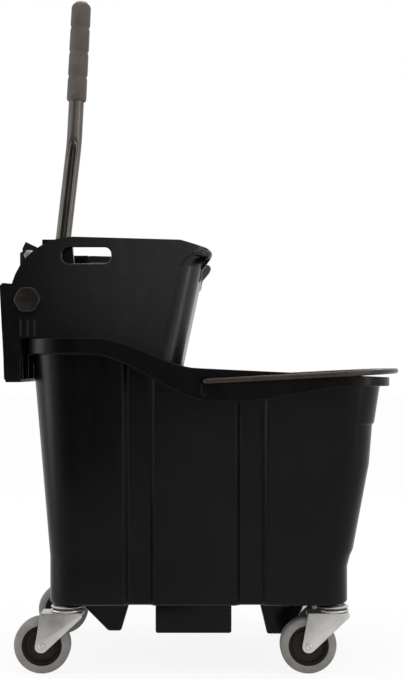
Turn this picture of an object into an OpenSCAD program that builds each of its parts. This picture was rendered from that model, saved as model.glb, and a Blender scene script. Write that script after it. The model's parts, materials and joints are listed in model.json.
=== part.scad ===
// Mop bucket on swivel casters with a side press wringer hung on its left end.
// Millimetres. The floor is z = 0, +X runs along the bucket away from the wringer, +Y away from the viewer.

/* [Casters] */
// Diameter of a wheel
wheel_d = 76; // [66:1:86]
// Width of a wheel's tread
wheel_w = 28; // [22:1:32]
// Diameter of a wheel's hub
hub_d = 54; // [40:1:60]
// Diameter of a wheel's axle bolt
bolt_d = 8; // [6:1:10]
// How far a wheel trails behind its swivel
trail = 33; // [26:1:38]
// Left swivels, from the middle of the object
caster_left = 182; // [172:1:190]
// Right swivels, from the middle of the object
caster_right = 176; // [166:1:182]
// Swivels, from the middle plane
caster_y = 138; // [130:1:142]
// Thickness of the fork's steel
fork_t = 2.5; // [2:0.5:4]
// Diameter of a caster's stem
stem_d = 11; // [9:1:13]
// Length of the stem inside its socket
stem_l = 36; // [28:1:44]
// Diameter of the socket round a stem
socket_d = 30; // [24:1:34]
// Diameter of the swivel's ball race
race_d = 44; // [38:1:48]
// Height of one half of the ball race
race_h = 4.8; // [3:0.2:6]
// Thickness of the washer between the halves of the race
washer_t = 1; // [0.8:0.1:2]
// Diameter of the swivel's king pin
king_d = 12; // [10:1:14]
// Wall of the sleeve that a wheel turns on
sleeve_wall = 2; // [1.5:0.5:3]

/* [Bucket] */
// Wall of the bucket
wall = 4; // [3:0.5:6]
// Left wall at the base, from the middle
base_left = 206; // [202:1:210]
// Right wall at the base, from the middle
base_right = 198; // [194:1:204]
// Half width at the base
base_half = 163; // [160:1:168]
// Left wall at the shoulder, from the middle
top_left = 226; // [220:1:230]
// Right wall at the shoulder, from the middle
top_right = 242; // [236:1:246]
// Room between the tub's sides and the bucket's shoulder
tub_room = 26; // [22:1:30]
// Height of the shoulder above the base
shoulder_h = 296; // [280:1:304]
// Height over which the walls stand straight
straight_h = 64; // [40:1:90]
// Radius of the upright corners at the shoulder
corner_r = 56; // [50:1:60]
// Radius of the upright corners at the base
base_r = 36; // [30:1:40]
// Bevel round the base
base_bevel = 6; // [3:1:10]
// Rim above the base at the wringer's end
rim_left_h = 357; // [345:1:370]
// Rim above the base where its fall ends
rim_mid_h = 317; // [312:1:325]
// Rim above the base at the right end
rim_right_h = 305; // [300:1:312]
// How far the rim stands out from the wall
rim_out = 8; // [6:1:11]
// Where the rim starts to fall, left of the middle
fall_start = 140; // [120:1:150]
// Where the rim's fall ends, left of the middle
fall_end = 2; // [-10:1:15]
// Rim skirt's lower edge above the base at the wringer's end
skirt_left_h = 336; // [330:1:342]
// Rim skirt's lower edge above the base at its lowest
skirt_mid_h = 285; // [278:1:292]
// Rim skirt's lower edge above the base at the right end
skirt_right_h = 293; // [288:1:298]
// Width of the upright grooves in the long walls
groove_w = 35; // [24:1:42]
// Depth of those grooves
groove_d = 7; // [4:1:9]
// Middle of the left groove, left of the middle
groove_left = 84; // [74:1:94]
// Middle of the right groove, right of the middle
groove_right = 66; // [56:1:76]
// Depth of the feet below the base
foot_h = 42; // [30:1:46]
// Middle foot, to the left of the middle
foot_mid_left = 63; // [54:1:68]
// Middle foot, to the right of the middle
foot_mid_right = 40; // [32:1:46]
// Inner end of the left foot's sole, left of the middle
foot_left_in = 113; // [108:1:118]
// Length of the left foot's sole
foot_left_l = 18; // [14:1:22]
// Inner end of the right foot's sole, right of the middle
foot_right_in = 91; // [86:1:96]
// Length of the right foot's sole
foot_right_l = 34; // [24:1:36]
// How much deeper the outer feet are than the middle one
foot_more = 8; // [0:1:10]
// How far an outer foot's inner end slants
foot_slant = 15; // [8:1:18]
// How far an outer foot's outer end runs out
foot_run = 25; // [10:1:30]
// How far the middle foot stands back from the walls
foot_back = 30; // [20:1:60]

/* [Bail] */
// Diameter of the bail's wire
wire_d = 7; // [5:0.5:8]
// Pivot of the bail, right of the middle
bail_x = 4; // [0:1:12]
// Pivot of the bail above the base
bail_h = 300; // [297:1:303]
// Radius of the bail's corners
bail_r = 115; // [105:1:125]
// Thickness of the ear that holds the wire
ear_t = 6; // [5:0.5:8]
// Radius of the ear round the wire
ear_r = 6; // [5:0.5:8]

/* [Wringer] */
// Half width of the wringer's tub
tub_half = 154; // [150:1:157]
// Wall of the tub
tub_wall = 4; // [3:0.5:5]
// Depth of the tub below the rim it hangs on
tub_deep = 133; // [120:1:140]
// Height of the tub above that rim
tub_rise = 136; // [130:1:142]
// Front wall at the rim's height, left of the middle
front_in = 20.6; // [16:0.2:26]
// How far the front wall leans out over the tub's rise
front_run = 28.6; // [24:0.2:32]
// How far the pouring lip flares out
lip_out = 11; // [6:1:14]
// Height of the lip above the rim the tub hangs on
lip_h = 113; // [108:1:118]
// Depth of the scoop in the front wall's edge
scoop_deep = 30; // [15:1:40]
// Radius of the tub's upright corners
tub_r = 34; // [32:1:38]
// Radius of the cheek's curved shoulder
cheek_r = 85; // [78:1:92]
// Room between the rim and the hanger's outer plate
hang_room = 28; // [24:1:32]
// Depth of the hanger below the rim
hang_deep = 59; // [40:1:66]
// Height of the hanger above the rim
hang_rise = 74; // [68:1:80]
// Height of the back wall above the rim
back_rise = 36; // [28:1:38]
// Length of a hand hole
hole_l = 70; // [56:1:76]
// Height of a hand hole
hole_h = 26; // [20:1:28]

/* [Press] */
// Diameter of the press shaft
shaft_d = 16; // [14:1:18]
// Shaft above the rim the wringer hangs on
shaft_h = 51; // [49:1:54]
// Throw of the crank arms
throw = 61; // [57:1:64]
// Swing of the lever in degrees
swing_deg = 50; // [40:1:50]
// Thickness of the crank arms and push brackets
arm_t = 5; // [4:0.5:6]
// Diameter of a crank pin
pin_d = 10; // [8:1:11]
// Play beside the heads of the crank pins
pin_play = 0.5; // [0.3:0.1:1]
// Thickness of the press plate at its top
press_top_t = 40; // [32:1:44]
// Thickness of the press plate at its foot
press_foot_t = 54; // [44:1:60]
// Wall of the press plate
press_wall = 5; // [4:0.5:7]
// Size across the flats of the shaft's cap nuts
nut_af = 33; // [28:1:34]
// Thickness of a cap nut
nut_t = 14; // [12:1:16]

/* [Lever] */
// Diameter of the lever's tube
tube_d = 24; // [20:1:26]
// Wall of the lever's tube
tube_wall = 2; // [1.5:0.5:3]
// Lever from the shaft to its bend
lever_low = 266; // [240:1:300]
// Lever from its bend to the end of the grip
lever_high = 222; // [205:1:240]
// Lean of the lever below the bend, in degrees
lean_low = 6.5; // [4:0.5:9]
// Lean of the lever above the bend, in degrees
lean_high = 3; // [1:0.5:4]
// How far the bend reaches from its corner
bend_reach = 40; // [20:1:60]
// Diameter of the grip
grip_d = 31; // [28:1:34]
// Length of the grip
grip_l = 155; // [130:1:170]
// Grooves round the grip
grip_grooves = 3; // [2:1:5]
// Diameter of the lever's hub on the shaft
hub_boss_d = 34; // [30:1:38]
// Length of the socket that holds the tube
socket_l = 60; // [50:1:80]

/* [Return spring] */
// Diameter of the spring's wire
spring_wire = 3.5; // [3:0.1:4]
// Turns of the spring
spring_turns = 6; // [4:1:8]
// Clear gap between turns
spring_gap = 1; // [0.8:0.1:2]

/* [Hidden] */
$fn = 48;

// Clearances and cuts
overrun = 1;       // how far a cut runs past a face
seat_gap = 0.3;    // pieces that rest on each other
run_gap = 0.05;    // radial play of a pin in its bore
corner_steps = 8;  // facets of a rounded corner
curve_steps = 20;  // facets of the rim's curve

black = [0.07, 0.07, 0.07];
zinc = [0.72, 0.72, 0.70];
steel = [0.45, 0.42, 0.39];
dark_steel = [0.22, 0.19, 0.17];
grey_rubber = [0.42, 0.41, 0.41];
brown_hub = [0.20, 0.17, 0.16];

// Caster heights, from the floor up
wheel_r = wheel_d / 2;
wheel_air = 4;                                   // between the wheel and the fork's crown
crown_z = wheel_d + wheel_air;
lower_race_z = crown_z + fork_t;
washer_z = lower_race_z + race_h + seat_gap / 3;
upper_race_z = washer_z + washer_t + seat_gap / 3;
base_z = upper_race_z + race_h;
fork_side = 2;                                   // air beside the wheel
fork_in = wheel_w / 2 + fork_side;
fork_tip_r = bolt_d / 2 + fork_t * 2;
king_head_r = king_d / 2 + fork_t;
king_head_t = fork_t;
bolt_head_share = 1.6;                           // a head's size against its thread
bolt_head_t_share = 0.6;
bolt_head_d = bolt_d * bolt_head_share;
bolt_head_t = bolt_d * bolt_head_t_share;
hub_dish_share = 0.84;                           // a hub's dished side against its diameter
swing_air = 8;                                   // between a swinging wheel and a foot
swing_r = sqrt(pow(trail + wheel_r, 2) + pow(wheel_w / 2, 2)) + swing_air;

sleeve_r = bolt_d / 2 + run_gap + sleeve_wall;
sleeve_half = fork_in - seat_gap / 2;
hub_boss = 2 * sleeve_r + bolt_d;

// Casters: name, swivel x, swivel y
CASTERS = [
  ["left_near", -caster_left, -caster_y], ["left_far", -caster_left, caster_y],
  ["right_near", caster_right, -caster_y], ["right_far", caster_right, caster_y]
];

// Bucket heights and wall places at a height
top_half = tub_half + tub_room;
shoulder_z = base_z + shoulder_h;
straight_z = base_z + straight_h;
rim_left_z = base_z + rim_left_h;
rim_mid_z = base_z + rim_mid_h;
rim_right_z = base_z + rim_right_h;
skirt_left_z = base_z + skirt_left_h;
skirt_mid_z = base_z + skirt_mid_h;
skirt_right_z = base_z + skirt_right_h;
function slope_at(z) = (z - straight_z) / (shoulder_z - straight_z);
function at_height(z, low, high) = low + (high - low) * max(0, slope_at(z));
function left_at(z) = -at_height(z, base_left, top_left);
function right_at(z) = at_height(z, base_right, top_right);
function half_at(z) = at_height(z, base_half, top_half);
function corner_at(z) = at_height(z, base_r, corner_r);

rim_left_x = left_at(rim_left_z) - rim_out;
rim_right_x = right_at(rim_right_z) + rim_out;
rim_half = half_at(rim_left_z) + rim_out;
rim_r = corner_at(rim_left_z) + rim_out;
groove_bevel = groove_d;
skirt_fall_start = fall_start - corner_r / 2;
skirt_fall_end = fall_end - corner_r / 8;
skirt_rise_start = groove_right - groove_w / 2;
skirt_rise_end = right_at(shoulder_z) - corner_r;

function smooth(t) = let (c = min(1, max(0, t))) c * c * (3 - 2 * c);
function rim_top(x) = x < -fall_end
  ? rim_left_z - (rim_left_z - rim_mid_z) * smooth((x + fall_start) / (fall_start - fall_end))
  : rim_mid_z - (rim_mid_z - rim_right_z) * (x + fall_end) / (rim_right_x + fall_end);
function skirt_low(x) = let (
    fall = smooth((x + skirt_fall_start) / (skirt_fall_start - skirt_fall_end)),
    rise = smooth((x - skirt_rise_start) / (skirt_rise_end - skirt_rise_start)))
  skirt_left_z - (skirt_left_z - skirt_mid_z) * fall + (skirt_right_z - skirt_mid_z) * rise;
function curve_x(i) = rim_left_x - overrun
  + (rim_right_x - rim_left_x + 2 * overrun) * i / (curve_steps * 2);

// Feet stay clear of the swinging wheels
foot_z = base_z - foot_h;
foot_reach = min(caster_left - foot_left_in - foot_left_l, caster_right - foot_right_in - foot_right_l);
foot_half = caster_y - sqrt(max(0, swing_r * swing_r - foot_reach * foot_reach));

// Wringer
seat_z = rim_left_z + seat_gap;
tub_low_z = seat_z - tub_deep;
tub_top_z = seat_z + tub_rise;
lip_z = seat_z + lip_h;
lip_flare_share = 1.5;                           // height of the flare against its reach
lip_start_z = lip_z - lip_out * lip_flare_share;
lip_round = 8;
lip_round_shares = [[0.3, 0.75], [1, 1.1]];      // points back from and above the lip's edge
function back_at(z) = left_at(z) + wall + seat_gap * 2;
function front_at(z) = -front_in + front_run * (z - seat_z) / tub_rise;
lip_x = front_at(lip_z) + lip_out;
front_fall_share = 1.3;                          // where the top edge starts to fall to the lip
front_top_x = front_at(tub_top_z) - front_run * front_fall_share;
shoulder_share = 0.69;                           // where the cheek's curve starts
shoulder_x = left_at(seat_z) + cheek_r * shoulder_share;
hang_x = rim_left_x - hang_room - tub_wall;      // hanger's outer face
half_length = -hang_x;
hang_low_z = seat_z - hang_deep;
hang_top_z = seat_z + hang_rise;
web_t = 4;
cheek_in = tub_half - tub_wall;
back_top_z = seat_z + back_rise;
hole_x = shoulder_x - tub_r / 2;
hole_z = tub_top_z - hole_h - tub_wall * 3;
hole_r = hole_h / 2 - overrun;
slot_w = 8;
slot_l = 44;
slot_pitch = 26;
slot_rows = 9;

// Shaft, cranks and press plate
shaft_x = rim_left_x + rim_out - overrun;
shaft_z = seat_z + shaft_h;
shaft_r = shaft_d / 2;
bush_wall = 3;
bush_flange = 4;
bush_flange_t = 2;
boss_in = tub_wall;
bush_r = shaft_r + run_gap + bush_wall;
nut_gap = seat_gap;
nut_y = tub_half + bush_flange_t + nut_gap;
hub_y = tub_half + bush_flange_t + seat_gap;
socket_d_out = tube_d + 4 * tube_wall;
hub_w = socket_d_out + overrun * 2;
lever_y = hub_y + hub_w / 2;
far_nut_y = hub_y + hub_w + nut_gap;
nut_cap = 3;                                     // closed end of a cap nut
pin_head_t = 4;
press_half = cheek_in - boss_in - pin_play - pin_head_t - arm_t * 3 / 2;
arm_in = press_half + arm_t / 2;
bracket_out = press_half - press_wall - run_gap;
bracket_in = bracket_out - arm_t;
bracket_lap = 20;
arm_hub_r = shaft_r + arm_t;
arm_end_r = pin_d / 2 + arm_t;
arm_back = arm_hub_r;
pin_head_share = 1.5;
pin_head_d = pin_d * pin_head_share;
travel = throw * sin(swing_deg);
travel_per_deg = travel / swing_deg;
slot_steps = 10;
slot_half = pin_d / 2 + seat_gap + run_gap * 3;
plate_room = arm_t + overrun;                    // between the crank's end and the plate
press_back_x = shaft_x + arm_end_r + plate_room;
press_top_z = tub_top_z - overrun * 2;
press_low_z = tub_low_z + tub_wall + seat_gap;
tub_corner_r = tub_r - tub_wall;
in_corner = max(0, press_half - tub_half + tub_r);   // how far the plate's end reaches into the tub's corner
press_back_low_x = back_at(press_low_z) + tub_wall + overrun * 2
  + tub_corner_r - sqrt(max(0, tub_corner_r * tub_corner_r - in_corner * in_corner));
press_front_x = press_back_x + press_top_t;
press_front_low_x = press_back_low_x + press_foot_t;
rib_w = 8;
rib_out = 5;
rib_count = 7;
bracket_screw_d = 6;
screw_head_share = 1.8;
screw_head_d = bracket_screw_d * screw_head_share;
screw_head_t = 2.4;

// Lever
hub_bore_start = shaft_r + tube_wall * 3;
high_l = lever_high - grip_d / 4;
grip_waist = 1.2;
grip_round = 3;

// Return spring round the shaft beside the near crank
coil_r = shaft_r + spring_wire / 2 + overrun * 2;
coil_pitch = spring_wire + spring_gap;
coil_rings = 8;
coil_sides = 6;
coil_end_y = -(arm_in - spring_wire * 2);
spring_leg_share = 0.3;                          // the leg's length against the crank's throw
spring_leg = throw * spring_leg_share;
spring_foot = shaft_z - seat_z - web_t - seat_gap;
tab_w = 4;
tab_h = 10;
tab_reach = arm_t + spring_wire * 3 + spring_wire / 2;
tab_x = shaft_x - coil_r - spring_wire / 2 - seat_gap - tab_w;

// Points on an arc, from one angle to another
function arc(cx, cy, r, from, to, steps) =
  [for (i = [0 : steps]) let (a = from + (to - from) * i / steps) [cx + r * cos(a), cy + r * sin(a)]];

// A rounded outline in plan, anticlockwise from the near right corner, with the points of each long side
function outline(left, right, half, r, near_side = [], far_side = []) = concat(
  near_side,
  arc(right - r, r - half, r, -90, 0, corner_steps),
  arc(right - r, half - r, r, 0, 90, corner_steps),
  far_side,
  arc(left + r, half - r, r, 90, 180, corner_steps),
  arc(left + r, r - half, r, 180, 270, corner_steps));
function at_z(points, z) = [for (p = points) [p[0], p[1], z]];

// One groove across a long wall, from left to right
function groove(x, half, grow) = let (w = groove_w / 2 + grow) [
  [x - w - groove_bevel / 2, -half], [x - w + groove_bevel / 2, groove_d - half],
  [x + w - groove_bevel / 2, groove_d - half], [x + w + groove_bevel / 2, -half]];
function reversed(list) = [for (i = [len(list) - 1 : -1 : 0]) list[i]];
function grooves(half, grow) = concat(groove(-groove_left, half, grow), groove(groove_right, half, grow));
function bucket_ring(z, inset) = let (
    half = half_at(z) - inset,
    near_side = grooves(half, inset),
    far_side = [for (p = reversed(near_side)) [p[0], -p[1]]])
  at_z(outline(left_at(z) + inset, right_at(z) - inset, half, corner_at(z) - inset,
    near_side, far_side), z);

function middle(ring) = [for (axis = [0 : 2])
  (max([for (p = ring) p[axis]]) + min([for (p = ring) p[axis]])) / 2];

// A solid through a stack of outlines that all have the same number of points
module loft(rings) {
  n = len(rings[0]);
  last = len(rings) - 1;
  sides = [for (k = [0 : last - 1], i = [0 : n - 1]) let (
      a = k * n + i, b = k * n + (i + 1) % n, c = a + n, d = b + n)
    each [[a, c, d], [a, d, b]]];
  low_mid = n * (last + 1);
  caps = [for (i = [0 : n - 1]) let (j = (i + 1) % n)
    each [[low_mid, i, j], [low_mid + 1, last * n + j, last * n + i]]];
  polyhedron(
    points = concat([for (r = rings) each r], [middle(rings[0]), middle(rings[last])]),
    faces = concat(sides, caps), convexity = 6);
}

// The same through outlines that come round to the first one again, as a tube's skin and bore do
module closed_loft(rings) {
  n = len(rings[0]);
  count = len(rings);
  sides = [for (k = [0 : count - 1], i = [0 : n - 1]) let (
      j = (i + 1) % n, a = k * n + i, b = k * n + j, c = (k + 1) % count * n + i, d = (k + 1) % count * n + j)
    each [[a, c, d], [a, d, b]]];
  polyhedron(points = [for (r = rings) each r], faces = sides, convexity = 6);
}

// A ring of points round a path at one of its points, the first of them towards a given side
function unit(v) = v / norm(v);
function heading(path, i) = i == 0 ? unit(path[1] - path[0])
  : i == len(path) - 1 ? unit(path[i] - path[i - 1])
  : unit(unit(path[i] - path[i - 1]) + unit(path[i + 1] - path[i]));
function ring_at(path, i, side, r, n) = let (
    d = heading(path, i), u = unit(side - d * (side * d)), v = cross(d, u))
  [for (k = [0 : n - 1]) let (a = 360 * k / n) path[i] + (u * cos(a) + v * sin(a)) * r];

// A flat outline in X and Z, run along Y from one place to another
module along_y(from, to) {
  translate([0, to, 0]) rotate([90, 0, 0]) linear_extrude(to - from) children();
}
module rod_y(x, z, from, to, r) {
  translate([x, from, z]) rotate([-90, 0, 0]) cylinder(h = to - from, r = r);
}

// Bucket
module bucket_body(inset, low) {
  bevel = inset == 0 ? base_bevel : 0;
  top = rim_left_z + overrun * 4;
  first = [for (p = bucket_ring(low, inset))
    [p[0] * (1 - bevel / base_left), p[1] * (1 - bevel / base_half), low]];
  levels = [low + base_bevel, straight_z, top];
  loft(concat([first], [for (z = levels) bucket_ring(z, inset)]));
}
module foot(low_left, low_right, top_left_x, top_right_x, foot_low, reach, inset) {
  half = reach - inset;
  low = foot_low + inset;
  high = base_z + wall + overrun;
  loft([
    [[low_left + inset, -half, low], [low_right - inset, -half, low],
      [low_right - inset, half, low], [low_left + inset, half, low]],
    [[top_left_x + inset, -half, high], [top_right_x - inset, -half, high],
      [top_right_x - inset, half, high], [top_left_x + inset, half, high]]]);
}
module feet(inset) {
  left_end = -foot_left_in - foot_left_l;
  right_end = foot_right_in + foot_right_l;
  outer_z = foot_z - foot_more;
  foot(-foot_mid_left, foot_mid_right, -foot_mid_left, foot_mid_right, foot_z, base_half - foot_back, inset);
  foot(left_end, -foot_left_in, left_end - foot_run, foot_slant - foot_left_in, outer_z, foot_half, inset);
  foot(foot_right_in, right_end, foot_right_in - foot_slant, right_end + foot_run, outer_z, foot_half, inset);
}
module under_rim_top() {
  top = [for (i = [curve_steps * 2 : -1 : 0]) [curve_x(i), rim_top(curve_x(i))]];
  along_y(-rim_half - overrun, rim_half + overrun)
    polygon(concat([[curve_x(0), 0], [curve_x(curve_steps * 2), 0]], top));
}
module rim_band() {
  low = [for (i = [0 : curve_steps * 2]) [curve_x(i), skirt_low(curve_x(i))]];
  top = [for (i = [curve_steps * 2 : -1 : 0]) [curve_x(i), rim_top(curve_x(i))]];
  plan = outline(rim_left_x, rim_right_x, rim_half, rim_r);
  intersection() {
    loft([at_z(plan, skirt_mid_z - overrun), at_z(plan, rim_left_z + overrun)]);
    along_y(-rim_half - overrun, rim_half + overrun) polygon(concat(low, top));
  }
}
module stem_sockets() {
  for (c = CASTERS) translate([c[1], c[2], base_z]) cylinder(h = stem_l + wall, d = socket_d);
}
module bucket_shell() color(black) difference() {
  union() {
    difference() {
      union() {
        intersection() {
          bucket_body(0, base_z);
          under_rim_top();
        }
        rim_band();
        feet(0);
      }
      bucket_body(wall, base_z + wall);
      feet(wall);
    }
    intersection() {
      stem_sockets();
      bucket_body(wall / 2, base_z);
    }
  }
  for (c = CASTERS) translate([c[1], c[2], base_z - overrun])
    cylinder(h = stem_l + overrun + seat_gap, r = stem_d / 2 + run_gap);
}

// Bail: its ears on the rim and its bent wire
wire_r = wire_d / 2;
bail_z = base_z + bail_h;
ear_out = rim_half + ear_t;
knee_r = wire_r + overrun;                       // bend from a side wire into its pin
bail_half = ear_out + knee_r + seat_gap;
bail_l = half_length - wire_r - bail_x;
bail_pin_in = rim_half + overrun / 2;             // inner end of a pin
ear_shares = [0.75, 1.6];                        // half width and drop of an ear's foot
// How far the wire must tilt at one point of its corner to lie on the rim, or nothing beside the rim
function rest_deg(deg) = let (
    x = bail_l - bail_r + bail_r * cos(deg),
    across = x + bail_x - rim_right_x + rim_r,
    aside = bail_half - bail_r + bail_r * sin(deg) - rim_half + rim_r,
    off = max(0, norm([max(0, across), max(0, aside)]) - rim_r))
  off > wire_r ? 0 : asin((rim_top(x + bail_x) + sqrt(wire_r * wire_r - off * off) + seat_gap - bail_z) / x);
bail_deg = max([for (deg = [0 : 90]) rest_deg(deg)]);
module bail_ear(side) color(black) difference() {
  along_y(side < 0 ? -ear_out : rim_half, side < 0 ? -rim_half : ear_out) {
    translate([bail_x, bail_z]) circle(ear_r);
    translate([bail_x - ear_r * ear_shares[0], bail_z - ear_r * ear_shares[1]])
      square([ear_r * ear_shares[0] * 2, ear_r * ear_shares[1]]);
  }
  rod_y(bail_x, bail_z, -ear_out - overrun, ear_out + overrun, wire_r + run_gap);
}
module bail_ear_near() bail_ear(-1);
module bail_ear_far() bail_ear(1);
// The wire runs from pin to pin: a knee, a side, a corner, and the same again on the far side
wire_sides = 16;
knee_steps = corner_steps / 2;
bail_steps = corner_steps + knee_steps;
bail_skin_r = wire_r / cos(180 / wire_sides) + run_gap;
bail_path = let (
    pin_y = ear_out + seat_gap, start_y = ear_out + seat_gap / 2, side_x = bail_l - bail_r,
    plan = concat(
      [[0, -start_y]],
      arc(knee_r, -pin_y, knee_r, 180, 270, knee_steps),
      arc(side_x, bail_r - bail_half, bail_r, -90, 0, bail_steps),
      arc(side_x, bail_half - bail_r, bail_r, 0, 90, bail_steps),
      arc(knee_r, pin_y, knee_r, 90, 180, knee_steps),
      [[0, start_y]]))
  at_z(plan, 0);
module bail_wire() color(dark_steel) translate([bail_x, 0, bail_z]) rotate([0, -bail_deg, 0]) {
  loft([for (i = [0 : len(bail_path) - 1]) ring_at(bail_path, i, [0, 0, 1], bail_skin_r, wire_sides)]);
  for (side = [-1, 1])
    rod_y(0, 0, side < 0 ? -ear_out - seat_gap : bail_pin_in,
      side < 0 ? -bail_pin_in : ear_out + seat_gap, wire_r);
}

// Casters, drawn about their swivel
module at_caster(i) translate([CASTERS[i][1], CASTERS[i][2], 0]) children();
module caster_stem(i) color(zinc) at_caster(i) {
  translate([0, 0, base_z - overrun]) cylinder(h = stem_l + overrun, d = stem_d);
  translate([0, 0, upper_race_z]) cylinder(h = race_h, d = race_d);
  king_low = crown_z - seat_gap - overrun;
  translate([0, 0, king_low]) cylinder(h = upper_race_z + overrun - king_low, d = king_d);
  translate([0, 0, crown_z - seat_gap - king_head_t]) cylinder(h = king_head_t, r = king_head_r);
}
module swivel_washer(i) color(grey_rubber) at_caster(i) translate([0, 0, washer_z]) difference() {
  cylinder(h = washer_t, d = race_d);
  translate([0, 0, -overrun]) cylinder(h = washer_t + 2 * overrun, r = king_d / 2 + run_gap);
}
module fork(i) color(zinc) at_caster(i) difference() {
  union() {
    translate([0, 0, crown_z]) cylinder(h = fork_t + race_h, d = race_d);
    translate([-race_d / 2, -fork_in - fork_t, crown_z]) cube([race_d, 2 * (fork_in + fork_t), fork_t]);
    for (side = [-1, 1]) along_y(
        side < 0 ? -fork_in - fork_t : fork_in, side < 0 ? -fork_in : fork_in + fork_t)
      polygon(concat(
        [[-race_d / 2, crown_z + fork_t], [-race_d / 2, crown_z - fork_t * 2]],
        arc(-trail, wheel_r, fork_tip_r, 165, 325, corner_steps * 2),
        [[race_d / 2, crown_z - fork_t * 2], [race_d / 2, crown_z + fork_t]]));
  }
  translate([0, 0, crown_z - overrun]) cylinder(h = base_z, r = king_d / 2 + run_gap);
  rod_y(-trail, wheel_r, -fork_in - fork_t - overrun, fork_in + fork_t + overrun, bolt_d / 2 + run_gap);
}
module axle_bolt(i) color(zinc) at_caster(i) {
  out = fork_in + fork_t;
  rod_y(-trail, wheel_r, -out - overrun / 2, out + overrun / 2, bolt_d / 2);
  for (side = [-1, 1]) translate([-trail, side * (out + bolt_head_t / 2 + run_gap), wheel_r])
    rotate([90, 0, 0]) cylinder(h = bolt_head_t, d = bolt_head_d, center = true, $fn = 6);
}
module sleeve(i) color(steel) at_caster(i) difference() {
  rod_y(-trail, wheel_r, -sleeve_half, sleeve_half, sleeve_r);
  rod_y(-trail, wheel_r, -fork_in, fork_in, bolt_d / 2 + run_gap);
}
module at_wheel(i) at_caster(i) translate([-trail, 0, wheel_r]) rotate([90, 0, 0]) children();
module hub(i) color(brown_hub) at_wheel(i) difference() {
  union() {
    cylinder(h = wheel_w - 2 * fork_side, d = hub_d, center = true);
    cylinder(h = wheel_w + fork_side, d = hub_boss, center = true);
  }
  for (side = [-1, 1]) translate([0, 0, side * wheel_w / 2]) difference() {
    cylinder(h = wheel_w / 2, d = hub_d * hub_dish_share, center = true);
    cylinder(h = wheel_w, d = hub_boss, center = true);
  }
  cylinder(h = wheel_w * 2, r = sleeve_r + run_gap, center = true);
}
module tyre(i) color(grey_rubber) at_wheel(i) rotate_extrude() polygon(concat(
    [[hub_d / 2, -wheel_w / 2], [wheel_r - wheel_w / 6, -wheel_w / 2]],
    arc(wheel_r - wheel_w / 6, -wheel_w / 3, wheel_w / 6, -90, 0, corner_steps),
    arc(wheel_r - wheel_w / 6, wheel_w / 3, wheel_w / 6, 0, 90, corner_steps),
    [[hub_d / 2, wheel_w / 2]]));

// Wringer's tub, cheeks and hanger in one moulding
function tub_ring(z, inset, flare) = at_z(
  outline(back_at(z) + inset, front_at(z) + flare - inset, tub_half - inset, tub_r - inset), z);
module tub_body(inset, low) {
  high = tub_top_z + overrun * 4;
  loft([tub_ring(low, inset, 0), tub_ring(lip_start_z, inset, 0),
    tub_ring(lip_z, inset, lip_out), tub_ring(high, inset, lip_out - front_at(high) + front_at(lip_z))]);
}
function shoulder_curve() = arc(shoulder_x, tub_top_z - cheek_r, cheek_r, 90, 165, corner_steps);
module under_top() {
  along_y(-tub_half - overrun, tub_half + overrun) polygon(concat(
    [[hang_x, tub_low_z - overrun], [lip_x + overrun, tub_low_z - overrun], [lip_x + overrun, lip_z],
      for (s = lip_round_shares) [lip_x - lip_round * s[0], lip_z + lip_round * s[1]],
      [front_top_x, tub_top_z - tub_wall]],
    shoulder_curve(), [[hang_x, hang_top_z]]));
}
module front_scoop() {
  half = tub_half - tub_r / 2;
  steps = corner_steps * 2;
  dip = [for (i = [-steps : steps]) let (t = i / steps)
    [half * t, lip_z - scoop_deep * (1 - smooth(abs(t)))]];
  translate([front_at(lip_z - scoop_deep) - tub_r / 2, 0, 0]) rotate([90, 0, 90])
    linear_extrude(lip_x + tub_r) polygon(concat(dip, [[half, tub_top_z], [-half, tub_top_z]]));
}
module cheek(side) {
  along_y(side < 0 ? -tub_half : cheek_in, side < 0 ? -cheek_in : tub_half) polygon(concat(
    shoulder_curve(),
    [[hang_x + tub_wall, hang_top_z], [hang_x, hang_top_z - tub_wall],
      [hang_x + overrun * 3, hang_low_z + tub_wall], [hang_x + overrun * 3 + tub_wall / 2, hang_low_z],
      [rim_left_x - tub_wall, hang_low_z], [rim_left_x - tub_wall, seat_z], [shoulder_x, seat_z]]));
}
module hand_hole() {
  along_y(-tub_half - overrun, tub_half + overrun) translate([hole_x, hole_z]) {
    translate([hole_r, 0]) square([hole_l - 2 * hole_r, hole_h]);
    translate([0, hole_r]) square([hole_l, hole_h - 2 * hole_r]);
    for (x = [hole_r, hole_l - hole_r], z = [hole_r, hole_h - hole_r]) translate([x, z]) circle(hole_r);
  }
}
module drain_slots() {
  floor_left = back_at(tub_low_z) + tub_r;
  floor_mid = (floor_left + front_at(tub_low_z)) / 2;
  for (row = [0 : slot_rows - 1], x = [floor_mid - slot_l - tub_wall, floor_mid + tub_wall])
    translate([x, (row - (slot_rows - 1) / 2) * slot_pitch - slot_w / 2, tub_low_z - overrun])
      cube([slot_l, slot_w, tub_wall + 2 * overrun]);
}
module hanger() {
  span = tub_half - tub_wall / 2;
  translate([hang_x + overrun * 2, -span, hang_low_z + tub_wall])
    cube([tub_wall - overrun, 2 * span, hang_top_z - hang_low_z - tub_wall * 2]);
  translate([hang_x + tub_wall, -span, hang_low_z])
    cube([rim_left_x - hang_x - 2 * tub_wall, 2 * span, tub_wall]);
  translate([hang_x + tub_wall, -span, seat_z])
    cube([back_at(seat_z) - hang_x, 2 * span, web_t]);
}
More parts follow.
